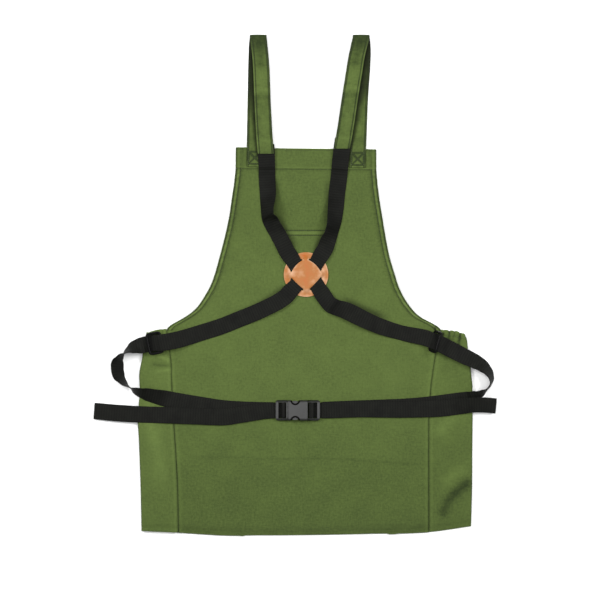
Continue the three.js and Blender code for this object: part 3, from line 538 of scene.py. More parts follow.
@dataclass
class ClothLie:
    """How the laid cloth rises and falls over the frame's own levels."""

    swell: float = 0.7 * MM
    wave: float = 75 * MM
    ripple: float = 34 * MM
    wire: float = 2.6 * MM
    ring_shade: float = 0.85
    rows: int = 160
    calm_places: list[tuple[float, float, float]] = field(default_factory=list)

    def __post_init__(self) -> None:
        """Measure where the cloth lies hollow over the pouch."""
        body = NodeShape("apron_body")
        low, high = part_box("apron_body")
        middle = (low.x + high.x) / 2
        self.ys = np.linspace(low.y + 1 * MM, high.y - 3 * MM, self.rows)
        under = body.heights(np.full(self.rows, middle), self.ys, upper=False)
        self.hollow = smoothed(np.clip(under / under.max(), 0, 1), 3)
        outer_left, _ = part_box("side_gusset_left")
        _, outer_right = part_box("side_gusset_right")
        self.outer = (outer_left.x, outer_right.x)
        for node in ("buckle_housing", "buckle_prongs", "side_ring_left", "side_ring_right"):
            corner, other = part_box(node)
            middle = (corner + other) / 2
            reach = max(other.x - corner.x, other.y - corner.y) / 2
            self.calm_places.append((middle.x, middle.y, reach))
        self.rings = []
        for node in ("side_ring_left", "side_ring_right"):
            plan = NodeShape(node).points[:, :2]
            centre = plan.mean(0)
            axes = np.linalg.eigh(np.cov((plan - centre).T))[1]
            reach = np.abs((plan - centre) @ axes).max(0)
            self.rings.append((centre, axes, reach - self.wire))

    def under_rings(self, x: Array, y: Array) -> Array:
        """Read how deep in shadow the cloth lies inside the two rings.

        Args:
            x: X of the places.
            y: Y of the places.

        Returns:
            The shadow at each place, from 0 to 1.
        """
        gloom = np.zeros(np.shape(x))
        for centre, axes, reach in self.rings:
            place = np.stack([x - centre[0], y - centre[1]], -1) @ axes
            past = (np.abs(place) - reach).max(-1)
            gloom = np.maximum(gloom, self.ring_shade * (1 - smoothstep(past, -0.5 * MM, 2 * MM)))
        return gloom

    def creased(self, x: Array, y: Array) -> Array:
        """Read how shaded the panel is beside its narrow creases, from 0 to 1."""
        x, y = np.asarray(x, float), np.asarray(y, float)
        return sum(0.5 * np.abs(fold.at(x, y)) / MM for fold in BODY_FOLDS if fold.width < 4)

    def lift(self, x: Array, y: Array) -> Array:
        """Read the added height of the cloth's upper layer and of all that lies on it.

        Args:
            x: X of the places.
            y: Y of the places.

        Returns:
            The added height at each place.
        """
        x, y = np.asarray(x, float), np.asarray(y, float)
        waves = soft_noise(x, y, self.wave, 3) + 0.45 * soft_noise(x, y, self.ripple, 8)
        height = self.swell * waves
        for fold in BODY_FOLDS:
            height = height + fold.at(x, y)
        fade = np.interp(y, self.ys, self.hollow)
        inside = smoothstep(x - self.outer[0], 12 * MM, 60 * MM)
        inside = inside * smoothstep(self.outer[1] - x, 12 * MM, 60 * MM)
        for place_x, place_y, reach in self.calm_places:
            away = np.hypot(x - place_x, y - place_y)
            inside = inside * smoothstep(away, reach, 2.2 * reach + 8 * MM)
        return height * fade * inside


# Meshes

# The order of a face's corners that turns it over.
TURNED = [0, 3, 2, 1]
# How many points a sheet's rounded rim has between its two faces.
RIM_STEPS = 3


def linked_object(name: str, data: bpy.types.ID) -> Piece:
    """Put a new object with the given data into the scene."""
    thing = bpy.data.objects.new(name, data)
    bpy.context.scene.collection.objects.link(thing)
    return thing


@contextmanager
def edited(mesh: bpy.types.Mesh) -> Iterator[bmesh.types.BMesh]:
    """Open a mesh for editing and write it back afterwards.

    Args:
        mesh: The mesh.

    Yields:
        The same mesh in the form that bmesh works on.
    """
    work = bmesh.new()
    work.from_mesh(mesh)
    yield work
    work.to_mesh(mesh)
    work.free()


def mesh_piece(name: str, points: Array, faces: Sequence[Sequence[int]]) -> Piece:
    """Link a new mesh object with smooth faces.

    Args:
        name: Name of the object and its mesh.
        points: One row for each vertex.
        faces: Vertex numbers of each face.

    Returns:
        The new object.
    """
    mesh = bpy.data.meshes.new(name)
    mesh.from_pydata(points.tolist(), [], [list(map(int, face)) for face in faces])
    mesh.shade_smooth()
    mesh.validate()
    return linked_object(name, mesh)


def set_values(piece: Piece, name: str, values: Array) -> None:
    """Store one number for each vertex under a name that materials can read."""
    attribute = piece.data.attributes.new(name, "FLOAT", "POINT")
    attribute.data.foreach_set("value", np.ascontiguousarray(values, np.float32))


def set_cloth_map(piece: Piece, places: Array) -> None:
    """Give a mesh its flat cloth coordinates, in metres.

    Args:
        piece: The mesh object.
        places: Flat coordinates of each vertex.
    """
    layer = piece.data.uv_layers.new(name="Cloth")
    corners = np.empty(len(piece.data.loops), int)
    piece.data.loops.foreach_get("vertex_index", corners)
    layer.data.foreach_set("uv", places[corners].astype(np.float32).ravel())


def border_of(grid: Array) -> Array:
    """List the numbers on a grid's border, once round."""
    return np.concatenate([grid[0, :-1], grid[:-1, -1], grid[-1, :0:-1], grid[:0:-1, 0]])


def faces_of(grid: Array) -> Array:
    """List the four corners of each face of a grid."""
    corners = grid[:-1, :-1], grid[:-1, 1:], grid[1:, 1:], grid[1:, :-1]
    return np.stack([corner.ravel() for corner in corners], 1)


def surface_normals(middle: Array) -> Array:
    """Work out a grid's normals, up where rows run along +Y and columns along +X."""
    along_columns = np.gradient(middle, axis=1)
    along_rows = np.gradient(middle, axis=0)
    return unit(np.cross(along_columns, along_rows))


def closed_sheet(
    name: str,
    middle: Array,
    half: Array,
    flat: Array,
    wear_and_shading: Array | None = None,
    gloom: Array | None = None,
) -> Piece:
    """Close a grid into a sheet with two faces and a rounded rim.

    Args:
        name: Name of the piece.
        middle: Grid of places halfway through the sheet, rows by columns by 3.
        half: Half the sheet's thickness over the grid.
        flat: Flat cloth coordinates over the grid.
        wear_and_shading: Rubbing together with painted highlight and painted shade over the grid, from -1 to
            1.
        gloom: How deep in shadow the sheet lies over the grid, from 0 to 1.

    Returns:
        The new object, with its cloth map, its rubbing with painted highlight and shade, and its painted
        shadow.
    """
    normal = surface_normals(middle)
    offset = normal * half[..., None]
    count = half.size
    grid = np.arange(count).reshape(half.shape)
    border = border_of(grid)
    edge = middle.reshape(-1, 3)[border]
    ahead = np.roll(edge, -1, 0) - np.roll(edge, 1, 0)
    edge_normal = normal.reshape(-1, 3)[border]
    outward = unit(np.cross(unit(ahead), edge_normal))
    edge_half = half.reshape(-1)[border][:, None]
    points = [(middle + offset).reshape(-1, 3), (middle - offset).reshape(-1, 3)]
    for step in range(1, RIM_STEPS + 1):
        angle = math.pi * (step / (RIM_STEPS + 1))
        points.append(edge + edge_half * (edge_normal * math.cos(angle) + outward * math.sin(angle)))
    upper_faces = faces_of(grid)
    faces = [upper_faces, upper_faces[:, TURNED] + count]
    size = len(border)
    loops = [border, *[2 * count + k * size + np.arange(size) for k in range(RIM_STEPS)], border + count]
    for upper, lower in zip(loops, loops[1:]):
        faces.append(np.stack([upper, lower, np.roll(lower, -1), np.roll(upper, -1)], 1))
    piece = mesh_piece(name, np.concatenate(points), np.concatenate(faces))
    # The place of the grid that each vertex belongs to.
    owner = np.concatenate([grid.ravel(), grid.ravel(), *[border] * RIM_STEPS])
    set_cloth_map(piece, flat.reshape(-1, 2)[owner])
    for label, values in (("wear_and_shading", wear_and_shading), ("gloom", gloom)):
        if values is not None:
            set_values(piece, label, values.ravel()[owner])
    return piece


def closed_block(name: str, middle: Array, half: Array) -> Piece:
    """Close a grid into a block with an upright rim.

    Args:
        name: Name of the piece.
        middle: Grid of places halfway up the block.
        half: Half the block's height over the grid.

    Returns:
        The new object.
    """
    count = half.size
    grid = np.arange(count).reshape(half.shape)
    rise = np.stack([0 * half, 0 * half, half], 2)
    points = np.concatenate([(middle + rise).reshape(-1, 3), (middle - rise).reshape(-1, 3)])
    border, upper_faces = border_of(grid), faces_of(grid)
    after = np.roll(border, -1)
    rim_faces = np.stack([border, border + count, after + count, after], 1)
    faces = [upper_faces, upper_faces[:, TURNED] + count, rim_faces]
    piece = mesh_piece(name, points, np.concatenate(faces))
    with edited(piece.data) as work:
        bmesh.ops.recalc_face_normals(work, faces=work.faces)
    piece.data.shade_flat()
    return piece


def face_offset(middle: Array, half: Array) -> Array:
    """Give the way from a sheet's middle to the stitches on its upper face."""
    return surface_normals(middle) * (half[..., None] - STITCH_DEPTH)


def flat_lengths(middle: Array) -> Array:
    """Unroll a grid into flat cloth coordinates.

    Args:
        middle: Grid of places, rows by columns by 3.

    Returns:
        How far each place lies along its row and along its column.
    """
    steps_u = np.linalg.norm(np.diff(middle, axis=1), axis=2)
    steps_v = np.linalg.norm(np.diff(middle, axis=0), axis=2)
    u = np.concatenate([np.zeros((len(middle), 1)), np.cumsum(steps_u, 1)], 1)
    v = np.concatenate([np.zeros((1, middle.shape[1])), np.cumsum(steps_v, 0)])
    return np.stack([u, v], 2)


def finish_mesh(piece: Piece) -> None:
    """Turn a piece with modifiers into a plain mesh with none.

    Args:
        piece: The piece.
    """
    graph = bpy.context.evaluated_depsgraph_get()
    old = piece.data
    piece.data = bpy.data.meshes.new_from_object(piece.evaluated_get(graph))
    piece.modifiers.clear()
    piece.data.name = piece.name
    bpy.data.meshes.remove(old)


def welded_copy(node: str, name: str) -> Piece:
    """Copy a node of the frame with its doubles merged and its flat faces joined.

    Args:
        node: Name of the node.
        name: Name of the new piece.

    Returns:
        The new object.
    """
    work = bmesh.new()
    work.from_mesh(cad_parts[node].data)
    bmesh.ops.remove_doubles(work, verts=work.verts, dist=SAME_PLACE)
    bmesh.ops.join_triangles(
        work, faces=work.faces, angle_face_threshold=math.radians(2), angle_shape_threshold=math.radians(60)
    )
    mesh = bpy.data.meshes.new(name)
    work.to_mesh(mesh)
    work.free()
    mesh.shade_smooth()
    return linked_object(name, mesh)


def place_piece(piece: Piece, slot: Slot, finish: Material, *nodes: str) -> Piece:
    """Dress a finished piece and tie it to the frame.

    Args:
        piece: The finished piece.
        slot: Not used.
        finish: Its material.
        nodes: Nodes of the frame that it stands for.

    Returns:
        The same piece.
    """
    piece.data.materials.clear()
    piece.data.materials.append(finish)
    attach(piece, BODY)
    if nodes:
        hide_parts(*nodes)
    LOG.info("%s: %d faces", piece.name, len(piece.data.polygons))
    return piece


# Finishes

MATH = "ShaderNodeMath"
MIX = "ShaderNodeMix"
NOISE = "ShaderNodeTexNoise"
BUMP = "ShaderNodeBump"


def linear(colour: str) -> tuple[float, float, float, float]:
    """Turn an sRGB hex colour into linear light."""
    shares = [int(colour[i : i + 2], 16) / 255 for i in (1, 3, 5)]
    light = [c / 12.92 if c <= 0.04045 else ((c + 0.055) / 1.055) ** 2.4 for c in shares]
    return (*light, 1.0)


def set_inputs(tree: Tree, node: bpy.types.Node, inputs: dict | tuple) -> None:
    """Set a node's inputs to values, or link them to other nodes' outputs.

    Args:
        tree: The node tree.
        node: The node.
        inputs: What each input gets: a dict by name or number, or a tuple for the first ones.
    """
    for key, value in inputs.items() if isinstance(inputs, dict) else enumerate(inputs):
        if isinstance(value, Socket):
            tree.links.new(value, node.inputs[key])
        else:
            node.inputs[key].default_value = value


def add_node(
    tree: Tree, kind: str, inputs: dict | tuple = (), **settings: object
) -> bpy.types.bpy_prop_collection:
    """Add a node with its settings and its links.

    Args:
        tree: The node tree.
        kind: The node's type.
        inputs: Values or other nodes' outputs: a dict by name or number, or a tuple for the first ones.
        settings: Values of the node's own properties.

    Returns:
        The new node's outputs.
    """
    node = tree.nodes.new(kind)
    for key, value in settings.items():
        setattr(node, key, value)
    set_inputs(tree, node, inputs)
    return node.outputs


def new_material(name: str, uniform: dict) -> tuple[Material, bpy.types.Node]:
    """Start a material with one shader whose uniform values sit on its own sockets.

    Args:
        name: The material's name.
        uniform: Values of the shader's sockets that are the same all over.

    Returns:
        The material and its shader node.
    """
    material = bpy.data.materials.new(name)
    material.use_nodes = True
    shader = material.node_tree.nodes["Principled BSDF"]
    set_inputs(material.node_tree, shader, uniform)
    return material, shader


def threads_at(tree: Tree, place: Socket) -> Socket:
    """Rise and fall once a unit of length, as round threads side by side do."""
    turned = add_node(tree, MATH, (place, math.pi), operation="MULTIPLY")[0]
    wave = add_node(tree, MATH, (turned,), operation="SINE")[0]
    return add_node(tree, MATH, (wave,), operation="ABSOLUTE")[0]


def toned(tree: Tree, tone: Socket, plain: str, pale: str, dark: str) -> Socket:
    """Colour a surface by its tone.

    Args:
        tree: The node tree.
        tone: The surface's tone, from -1 to 1.
        plain: Colour where the tone is 0.
        pale: Colour where it is 1.
        dark: Colour where it is -1.

    Returns:
        The colour.
    """
    above = add_node(tree, MATH, (tone, 0.0), operation="MAXIMUM")[0]
    turned = add_node(tree, MATH, (tone, -1.0), operation="MULTIPLY")[0]
    below = add_node(tree, MATH, (turned, 0.0), operation="MAXIMUM")[0]
    paler = add_node(tree, MIX, {0: above, 6: linear(plain), 7: linear(pale)}, data_type="RGBA")[2]
    return add_node(tree, MIX, {0: below, 6: paler, 7: linear(dark)}, data_type="RGBA")[2]


@dataclass(frozen=True)
class CanvasFinish:
    """Cotton canvas, plain woven and piece dyed olive: matte, paler on ridges from rubbing and painted
    highlight, darker in folds from painted shade.
    """

    name: str = "olive_cotton_canvas"
    cloth: str = "#4d5c2d"
    bright: str = "#64763d"
    dark: str = "#273117"
    shadow: str = "#0f1208"
    # The real threads are 0.55 mm apart. They are drawn twice as far apart so that they show.
    thread: float = 1.1 * MM
    mottle: float = 42 * MM
    slub: float = 5 * MM
    grain: float = 4 * MM
    fuzz: float = 0.5 * MM
    # The weave's height at which its tone is plain, and how much the weave and the grain change it. The
    # weave's crests get painted highlight and its hollows painted shade.
    weave_level: float = 0.62
    weave_tone: float = 0.34
    grain_tone: float = 0.7

    def material(self) -> Material:
        """Build the canvas material.

        Returns:
            The material.
        """
        material, shader = new_material(
            self.name, {"Sheen Weight": 0.05, "Sheen Roughness": 0.5, "Specular IOR Level": 0.15, "IOR": 1.45}
        )
        tree = material.node_tree
        add = partial(add_node, tree)
        cloth = add("ShaderNodeUVMap", uv_map="Cloth")[0]
        threads = add("ShaderNodeVectorMath", {0: cloth, "Scale": 1 / self.thread}, operation="SCALE")[0]
        across, along, _ = add("ShaderNodeSeparateXYZ", (threads,))
        square = tuple(add(MATH, (place,), operation="FLOOR")[0] for place in (across, along))
        crossing = add(MATH, square, operation="ADD")[0]
        over = add(MATH, (crossing, 1.0), operation="PINGPONG")[0]
        warp, weft = threads_at(tree, across), threads_at(tree, along)
        weave = add(MIX, {0: over, 2: warp, 3: weft}, data_type="FLOAT")[0]
        mottle = add(NOISE, {"Vector": cloth, "Scale": 1 / self.mottle, "Detail": 4.0})[0]
        streaks = []
        for stretch in ((6.0, 0.35, 1.0), (0.35, 6.0, 1.0)):
            drawn = add("ShaderNodeMapping", {"Vector": cloth, "Scale": stretch})[0]
            streaks.append(add(NOISE, {"Vector": drawn, "Scale": 1 / self.slub, "Detail": 2.0})[0])
        slubs = add(MATH, tuple(streaks), operation="ADD")[0]
        slubs = add(MATH, (slubs, 0.5, -0.5), operation="MULTIPLY_ADD")[0]
        patchy = add(MATH, (mottle, 0.5), operation="SUBTRACT")[0]
        tone = add(MATH, (patchy, 0.5, slubs), operation="MULTIPLY_ADD")[0]
        grain = add(NOISE, {"Vector": cloth, "Scale": 1 / self.grain, "Detail": 2.0})[0]
        grain = add(MATH, (grain, 0.5), operation="SUBTRACT")[0]
        tone = add(MATH, (grain, self.grain_tone, tone), operation="MULTIPLY_ADD")[0]
        # This attribute holds rubbing together with painted highlight and painted shade.
        worn_and_shaded = add("ShaderNodeAttribute", attribute_name="wear_and_shading")["Fac"]
        tone = add(MATH, (tone, worn_and_shaded), operation="ADD")[0]
        raised = add(MATH, (weave, self.weave_level), operation="SUBTRACT")[0]
        raised = add(MATH, (raised, self.weave_tone), operation="MULTIPLY")[0]
        tone = add(MATH, (tone, raised), operation="ADD")[0]
        colour = toned(tree, tone, self.cloth, self.bright, self.dark)
        gloom = add("ShaderNodeAttribute", attribute_name="gloom")["Fac"]
        colour = add(MIX, {0: gloom, 6: colour, 7: linear(self.shadow)}, data_type="RGBA")[2]
        rough = add("ShaderNodeMapRange", {"Value": mottle, "To Min": 0.82, "To Max": 0.96})[0]
        fuzz = add(NOISE, {"Vector": cloth, "Scale": 1 / self.fuzz, "Detail": 2.0})[0]
        low = add(BUMP, {"Height": fuzz, "Strength": 0.25, "Distance": 0.2 * MM})[0]
        woven = add(BUMP, {"Height": weave, "Strength": 0.6, "Distance": 0.22 * MM, "Normal": low})[0]
        set_inputs(tree, shader, {"Base Color": colour, "Roughness": rough, "Normal": woven})
        return material


@dataclass(frozen=True)
class WebbingFinish:
    """Polypropylene webbing, woven in heavy cross ribs and spun dyed black: a dull, slightly oily gleam."""

    name: str = "black_polypropylene_webbing"
    yarn: str = "#080807"
    crest: str = "#1e1f1a"
    shadow: str = "#030302"
    # The real ribs are 1.3 mm apart. They are drawn further apart so that they show.
    rib: float = 4.2 * MM
    cord: float = 2.1 * MM
    patch: float = 16 * MM
    # Shares of the ribs and the cords in the weave's height, and how far each second cord is shifted.
    rib_share: float = 0.65
    cord_share: float = 0.35
    stagger: float = 0.12

    def material(self) -> Material:
        """Build the webbing material.

        Returns:
            The material.
        """
        material, shader = new_material(
            self.name, {"Roughness": 0.62, "Sheen Weight": 0.0, "Specular IOR Level": 0.08, "IOR": 1.49}
        )
        tree = material.node_tree
        add = partial(add_node, tree)
        cloth = add("ShaderNodeUVMap", uv_map="Cloth")[0]
        split = add("ShaderNodeSeparateXYZ", (cloth,))
        across = add(MATH, (split[0], self.cord), operation="DIVIDE")[0]
        along = add(MATH, (split[1], self.rib), operation="DIVIDE")[0]
        row = add(MATH, (across,), operation="FLOOR")[0]
        odd = add(MATH, (row, 1.0), operation="PINGPONG")[0]
        shifted = add(MATH, (odd, self.stagger, along), operation="MULTIPLY_ADD")[0]
        ribs, cords = threads_at(tree, shifted), threads_at(tree, across)
        ribs = add(MATH, (ribs, self.rib_share), operation="MULTIPLY")[0]
        height = add(MATH, (cords, self.cord_share, ribs), operation="MULTIPLY_ADD")[0]
        patchy = add(NOISE, {"Vector": cloth, "Scale": 1 / self.patch, "Detail": 3.0})[0]
        share = add(MATH, (height, patchy), operation="MULTIPLY")[0]
        # The rib crests are painted paler than the hollows, as painted highlight.
        colour = add(MIX, {0: share, 6: linear(self.yarn), 7: linear(self.crest)}, data_type="RGBA")[2]
        gloom = add("ShaderNodeAttribute", attribute_name="gloom")["Fac"]
        colour = add(MIX, {0: gloom, 6: colour, 7: linear(self.shadow)}, data_type="RGBA")[2]
        bumped = add(BUMP, {"Height": height, "Strength": 0.55, "Distance": 0.3 * MM})[0]
        set_inputs(tree, shader, {"Base Color": colour, "Normal": bumped})
        return material


@dataclass(frozen=True)
class LeatherFinish:
    """Vegetable tanned cowhide, die cut and polished: warm tan, paler and pinker along its cut edges, with
    painted highlights on its upper slot lips, bends and sides.
    """

    name: str = "tan_vegetable_leather"
    hide: str = "#9d622b"
    # The pale flesh colour also serves as the painted highlights' colour.
    flesh_and_highlight: str = "#bf9472"
    deep: str = "#a85112"
    cloud: float = 14 * MM
    pore: float = 1.1 * MM
    cloud_tone: float = 2.3

    def material(self) -> Material:
        """Build the leather material.

        Returns:
            The material.
        """
        material, shader = new_material(
            self.name, {"Specular IOR Level": 0.3, "IOR": 1.48, "Coat Weight": 0.05, "Coat Roughness": 0.4}
        )
        tree = material.node_tree
        add = partial(add_node, tree)
        place = add("ShaderNodeTexCoord")["Object"]
        cloudy = add(NOISE, {"Vector": place, "Scale": 1 / self.cloud, "Detail": 4.0})[0]
        # This attribute holds the paler cut edges together with painted highlights.
        worn_and_shaded = add("ShaderNodeAttribute", attribute_name="wear_and_shading")["Fac"]
        tone = add(MATH, (cloudy, 0.5), operation="SUBTRACT")[0]
        tone = add(MATH, (tone, self.cloud_tone, worn_and_shaded), operation="MULTIPLY_ADD")[0]
        colour = toned(tree, tone, self.hide, self.flesh_and_highlight, self.deep)
        rough = add("ShaderNodeMapRange", {"Value": cloudy, "To Min": 0.36, "To Max": 0.56})[0]
        pores = add(
            "ShaderNodeTexVoronoi", {"Vector": place, "Scale": 1 / self.pore}, feature="DISTANCE_TO_EDGE"
        )["Distance"]
        bumped = add(BUMP, {"Height": pores, "Strength": 0.35, "Distance": 0.15 * MM})[0]
        set_inputs(tree, shader, {"Base Color": colour, "Roughness": rough, "Normal": bumped})
        return material


@dataclass(frozen=True)
class PlasticFinish:
    """Moulded plastic or baked enamel in black: an even surface with the gloss of its mould or its baking."""

    name: str
    colour: str
    roughness: float
    texture: float
    relief: float
    specular: float
    bloom: str = "#333331"
    bloom_share: float = 0.2
    cloud: float = 18 * MM

    def material(self) -> Material:
        """Build the plastic material.

        Returns:
            The material.
        """
        material, shader = new_material(self.name, {"Specular IOR Level": self.specular, "IOR": 1.5})
        tree = material.node_tree
        add = partial(add_node, tree)
        place = add("ShaderNodeTexCoord")["Object"]
        speckle = add(NOISE, {"Vector": place, "Scale": 1 / self.texture, "Detail": 3.0})[0]
        cloudy = add(NOISE, {"Vector": place, "Scale": 1 / self.cloud, "Detail": 2.0})[0]
        share = add(MATH, (cloudy, self.bloom_share), operation="MULTIPLY")[0]
        tone = add(MIX, {0: share, 6: linear(self.colour), 7: linear(self.bloom)}, data_type="RGBA")[2]
        limits = {"To Min": self.roughness - 0.05, "To Max": self.roughness + 0.07}
        rough = add("ShaderNodeMapRange", {"Value": cloudy, **limits})[0]
        bumped = add(BUMP, {"Height": speckle, "Strength": 0.4, "Distance": self.relief})[0]
        set_inputs(tree, shader, {"Base Color": tone, "Roughness": rough, "Normal": bumped})
        return material


# The buckle is injection moulded in acetal, satin from the fine etching of its mould.
ACETAL = PlasticFinish(
    "black_moulded_acetal", "#171715", roughness=0.42, texture=0.35 * MM, relief=0.05 * MM, specular=0.5
)
# The rings are steel wire in baked enamel, which levels out and gives small sharp lights.
ENAMEL = PlasticFinish(
    "black_glossy_enamel", "#060606", roughness=0.26, texture=1.2 * MM, relief=0.02 * MM, specular=0.05
)
# A matte black sheet paints the deep shadow in the gaps round the buckle's scoops.
RECESS_SHADOW = PlasticFinish(
    "painted_recess_shadow", "#040404", roughness=0.9, texture=0.5 * MM, relief=0.05 * MM, specular=0.0
)


@dataclass(frozen=True)
class ThreadFinish:
    """Core spun polyester sewing thread: round and slightly shiny, with a fine twist."""

    name: str = "olive_sewing_thread"
    colour: str = "#2c3719"
    light: str = "#414f24"
    twist: float = 1.2 * MM

    def material(self) -> Material:
        """Build the thread material.

        Returns:
            The material.
        """
        material, shader = new_material(
            self.name, {"Roughness": 0.6, "Sheen Weight": 0.15, "Specular IOR Level": 0.35, "IOR": 1.5}
        )
        add = partial(add_node, material.node_tree)
        place = add("ShaderNodeTexCoord")["Object"]
        twist = add(NOISE, {"Vector": place, "Scale": 1 / self.twist, "Detail": 2.0})[0]
        colour = add(MIX, {0: twist, 6: linear(self.colour), 7: linear(self.light)}, data_type="RGBA")[2]
        set_inputs(material.node_tree, shader, {"Base Color": colour})
        return material


@dataclass(frozen=True)
class PaperFinish:
    """The studio's plain pale floor: matte white paper."""

    name: str = "white_paper_floor"
    colour: str = "#fbfbfa"
    shade: str = "#f2f2f1"
    cloud: float = 0.4
    shade_share: float = 0.04

    def material(self) -> Material:
        """Build the floor material.

        Returns:
            The material.
        """
        material, shader = new_material(self.name, {"Roughness": 0.9, "Specular IOR Level": 0.1})
        add = partial(add_node, material.node_tree)
        place = add("ShaderNodeTexCoord")["Object"]
        cloudy = add(NOISE, {"Vector": place, "Scale": 1 / self.cloud, "Detail": 2.0})[0]
        faint = add(MATH, (cloudy, self.shade_share), operation="MULTIPLY")[0]
        colour = add(MIX, {0: faint, 6: linear(self.colour), 7: linear(self.shade)}, data_type="RGBA")[2]
        set_inputs(material.node_tree, shader, {"Base Color": colour})
        return material


# Stitches


@dataclass
class StitchMaker:
    """Sews rows of stitches along seams with one node tree."""

    finish: Material
    length: float = 2.6 * MM
    pitch: float = 3.1 * MM
    thread: float = 0.6 * MM
    # How far a stitch may turn about its own three axes either way, in radians.
    unevenness: tuple[float, float, float] = (0.03, 0.03, 0.09)
    seed: int = 11
    rows: Tree | None = None

    def tree(self) -> Tree:
        """Build the tree that turns seam lines into stitches.

        Returns:
            The tree, with its sizes as named inputs.
        """
        tree = bpy.data.node_groups.new("stitch_rows", "GeometryNodeTree")
        sockets = tree.interface
        sockets.new_socket("Geometry", in_out="INPUT", socket_type="NodeSocketGeometry")
        for name in ("Length", "Pitch", "Thread"):
            sockets.new_socket(name, in_out="INPUT", socket_type="NodeSocketFloat")
        sockets.new_socket("Seed", in_out="INPUT", socket_type="NodeSocketInt")
        sockets.new_socket("Geometry", in_out="OUTPUT", socket_type="NodeSocketGeometry")
        add = partial(add_node, tree)
        given = add("NodeGroupInput")
        curve = add("GeometryNodeMeshToCurve", (given["Geometry"],))[0]
        spots = add("GeometryNodeResampleCurve", {"Curve": curve, "Length": given["Pitch"]}, mode="LENGTH")[0]
        ball = add("GeometryNodeMeshUVSphere", {"Segments": 6, "Rings": 4, "Radius": 0.5})[0]
        thick = add("ShaderNodeCombineXYZ", (given["Length"], given["Thread"], given["Thread"]))[0]
        least = tuple(-angle for angle in self.unevenness)
        jitter = add(
            "FunctionNodeRandomValue",
            {0: least, 1: self.unevenness, "Seed": given["Seed"]},
            data_type="FLOAT_VECTOR",
        )[0]
        heading = add("GeometryNodeInputTangent")[0]
        facing = {"Rotation": jitter, "Vector": heading}
        aligned = add("FunctionNodeAlignRotationToVector", facing, axis="X")[0]
        turned = add("FunctionNodeRotateRotation", (aligned, jitter), rotation_space="LOCAL")[0]
        placed = {"Points": spots, "Instance": ball, "Rotation": turned, "Scale": thick}
        sown = add("GeometryNodeInstanceOnPoints", placed)[0]
        real = add("GeometryNodeRealizeInstances", (sown,))[0]
        smooth = add("GeometryNodeSetShadeSmooth", (real,))[0]
        dressed = add("GeometryNodeSetMaterial", {"Geometry": smooth, "Material": self.finish})[0]
        add("NodeGroupOutput", (dressed,))
        return tree

    def sew(self, name: str, seams: Sequence[Seam]) -> Piece:
        """Sew stitches along seams and tie them to the frame.

        Args:
            name: Name of the new piece.
            seams: Lines on the cloth's face, one row for each point.

        Returns:
            The stitches as one plain mesh.
        """
        edges, start = [], 0
        for seam in seams:
            edges += [(start + i, start + i + 1) for i in range(len(seam) - 1)]
            start += len(seam)
        mesh = bpy.data.meshes.new(name)
        mesh.from_pydata(np.concatenate(seams).tolist(), edges, [])
        piece = linked_object(name, mesh)
        self.rows = self.rows or self.tree()
        modifier = piece.modifiers.new("stitches", "NODES")
        modifier.node_group = self.rows
        sizes = {"Length": self.length, "Pitch": self.pitch, "Thread": self.thread, "Seed": self.seed}
        for item in self.rows.interface.items_tree:
            if item.in_out == "INPUT" and item.name in sizes:
                modifier[item.identifier] = sizes[item.name]
        finish_mesh(piece)
        return place_piece(piece, Slot.CANVAS, self.finish)


# Canvas


def side_columns(left: Array, right: Array, insets: Array, count: int) -> Array:
    """Spread columns over rows, close together along both edges.

    Args:
        left: X of the left edge at each row.
        right: X of the right edge at each row.
        insets: Distances of the close columns from the edge, rising from 0.
        count: How many columns lie between the close ones.

    Returns:
        X over the grid.
    """
    room = np.minimum((right - left) * 0.3 / insets[-1], 1)
    near, far = insets[None, :] * room[:, None], np.linspace(0, 1, count + 2)[1:-1]
    start, end = left + near[:, -1], right - near[:, -1]
    between = start[:, None] + (end - start)[:, None] * far[None, :]
    return np.concatenate([left[:, None] + near, between, right[:, None] - near[:, ::-1]], 1)


@dataclass
class PanelGrid:
    """A grid of rows and columns that fills a panel's outline."""

    outline: PanelOutline
    bow_reach: float
    slant_reach: float
    inset: float = HALF_CANVAS

    def fill(self, rows: Array, insets: Array, count: int) -> tuple[Array, Array]:
        """Place the grid.

        Args:
            rows: Rows from the panel's lowest to its highest Y.
            insets: Distances of the close columns from the sides.
            count: How many columns lie between those.

        Returns:
            X and Y over the grid.
        """
        low, high = rows[0], rows[-1]
        drop = 1 - smoothstep((rows - low) / (high - low), 0, self.bow_reach)
        rise = smoothstep((rows - low) / (high - low), 1 - self.slant_reach, 1)

        def moved(x: Array, at: Array, drop: Array, rise: Array) -> Array:
            """Bow the rows like the bottom edge and slant them like the top one."""
            bottom = self.outline.bottom.read(x) + self.inset - low
            top = self.outline.top.read(x) - self.inset - high
            return at + drop * bottom + rise * top

        left, right = self.outline.left.read(rows), self.outline.right.read(rows)
        for _ in range(3):
            left = self.outline.left.read(moved(left, rows, drop, rise)) + self.inset
            right = self.outline.right.read(moved(right, rows, drop, rise)) - self.inset
        x = side_columns(left, right, insets, count)
        return x, moved(x, rows[:, None], drop[:, None], rise[:, None])


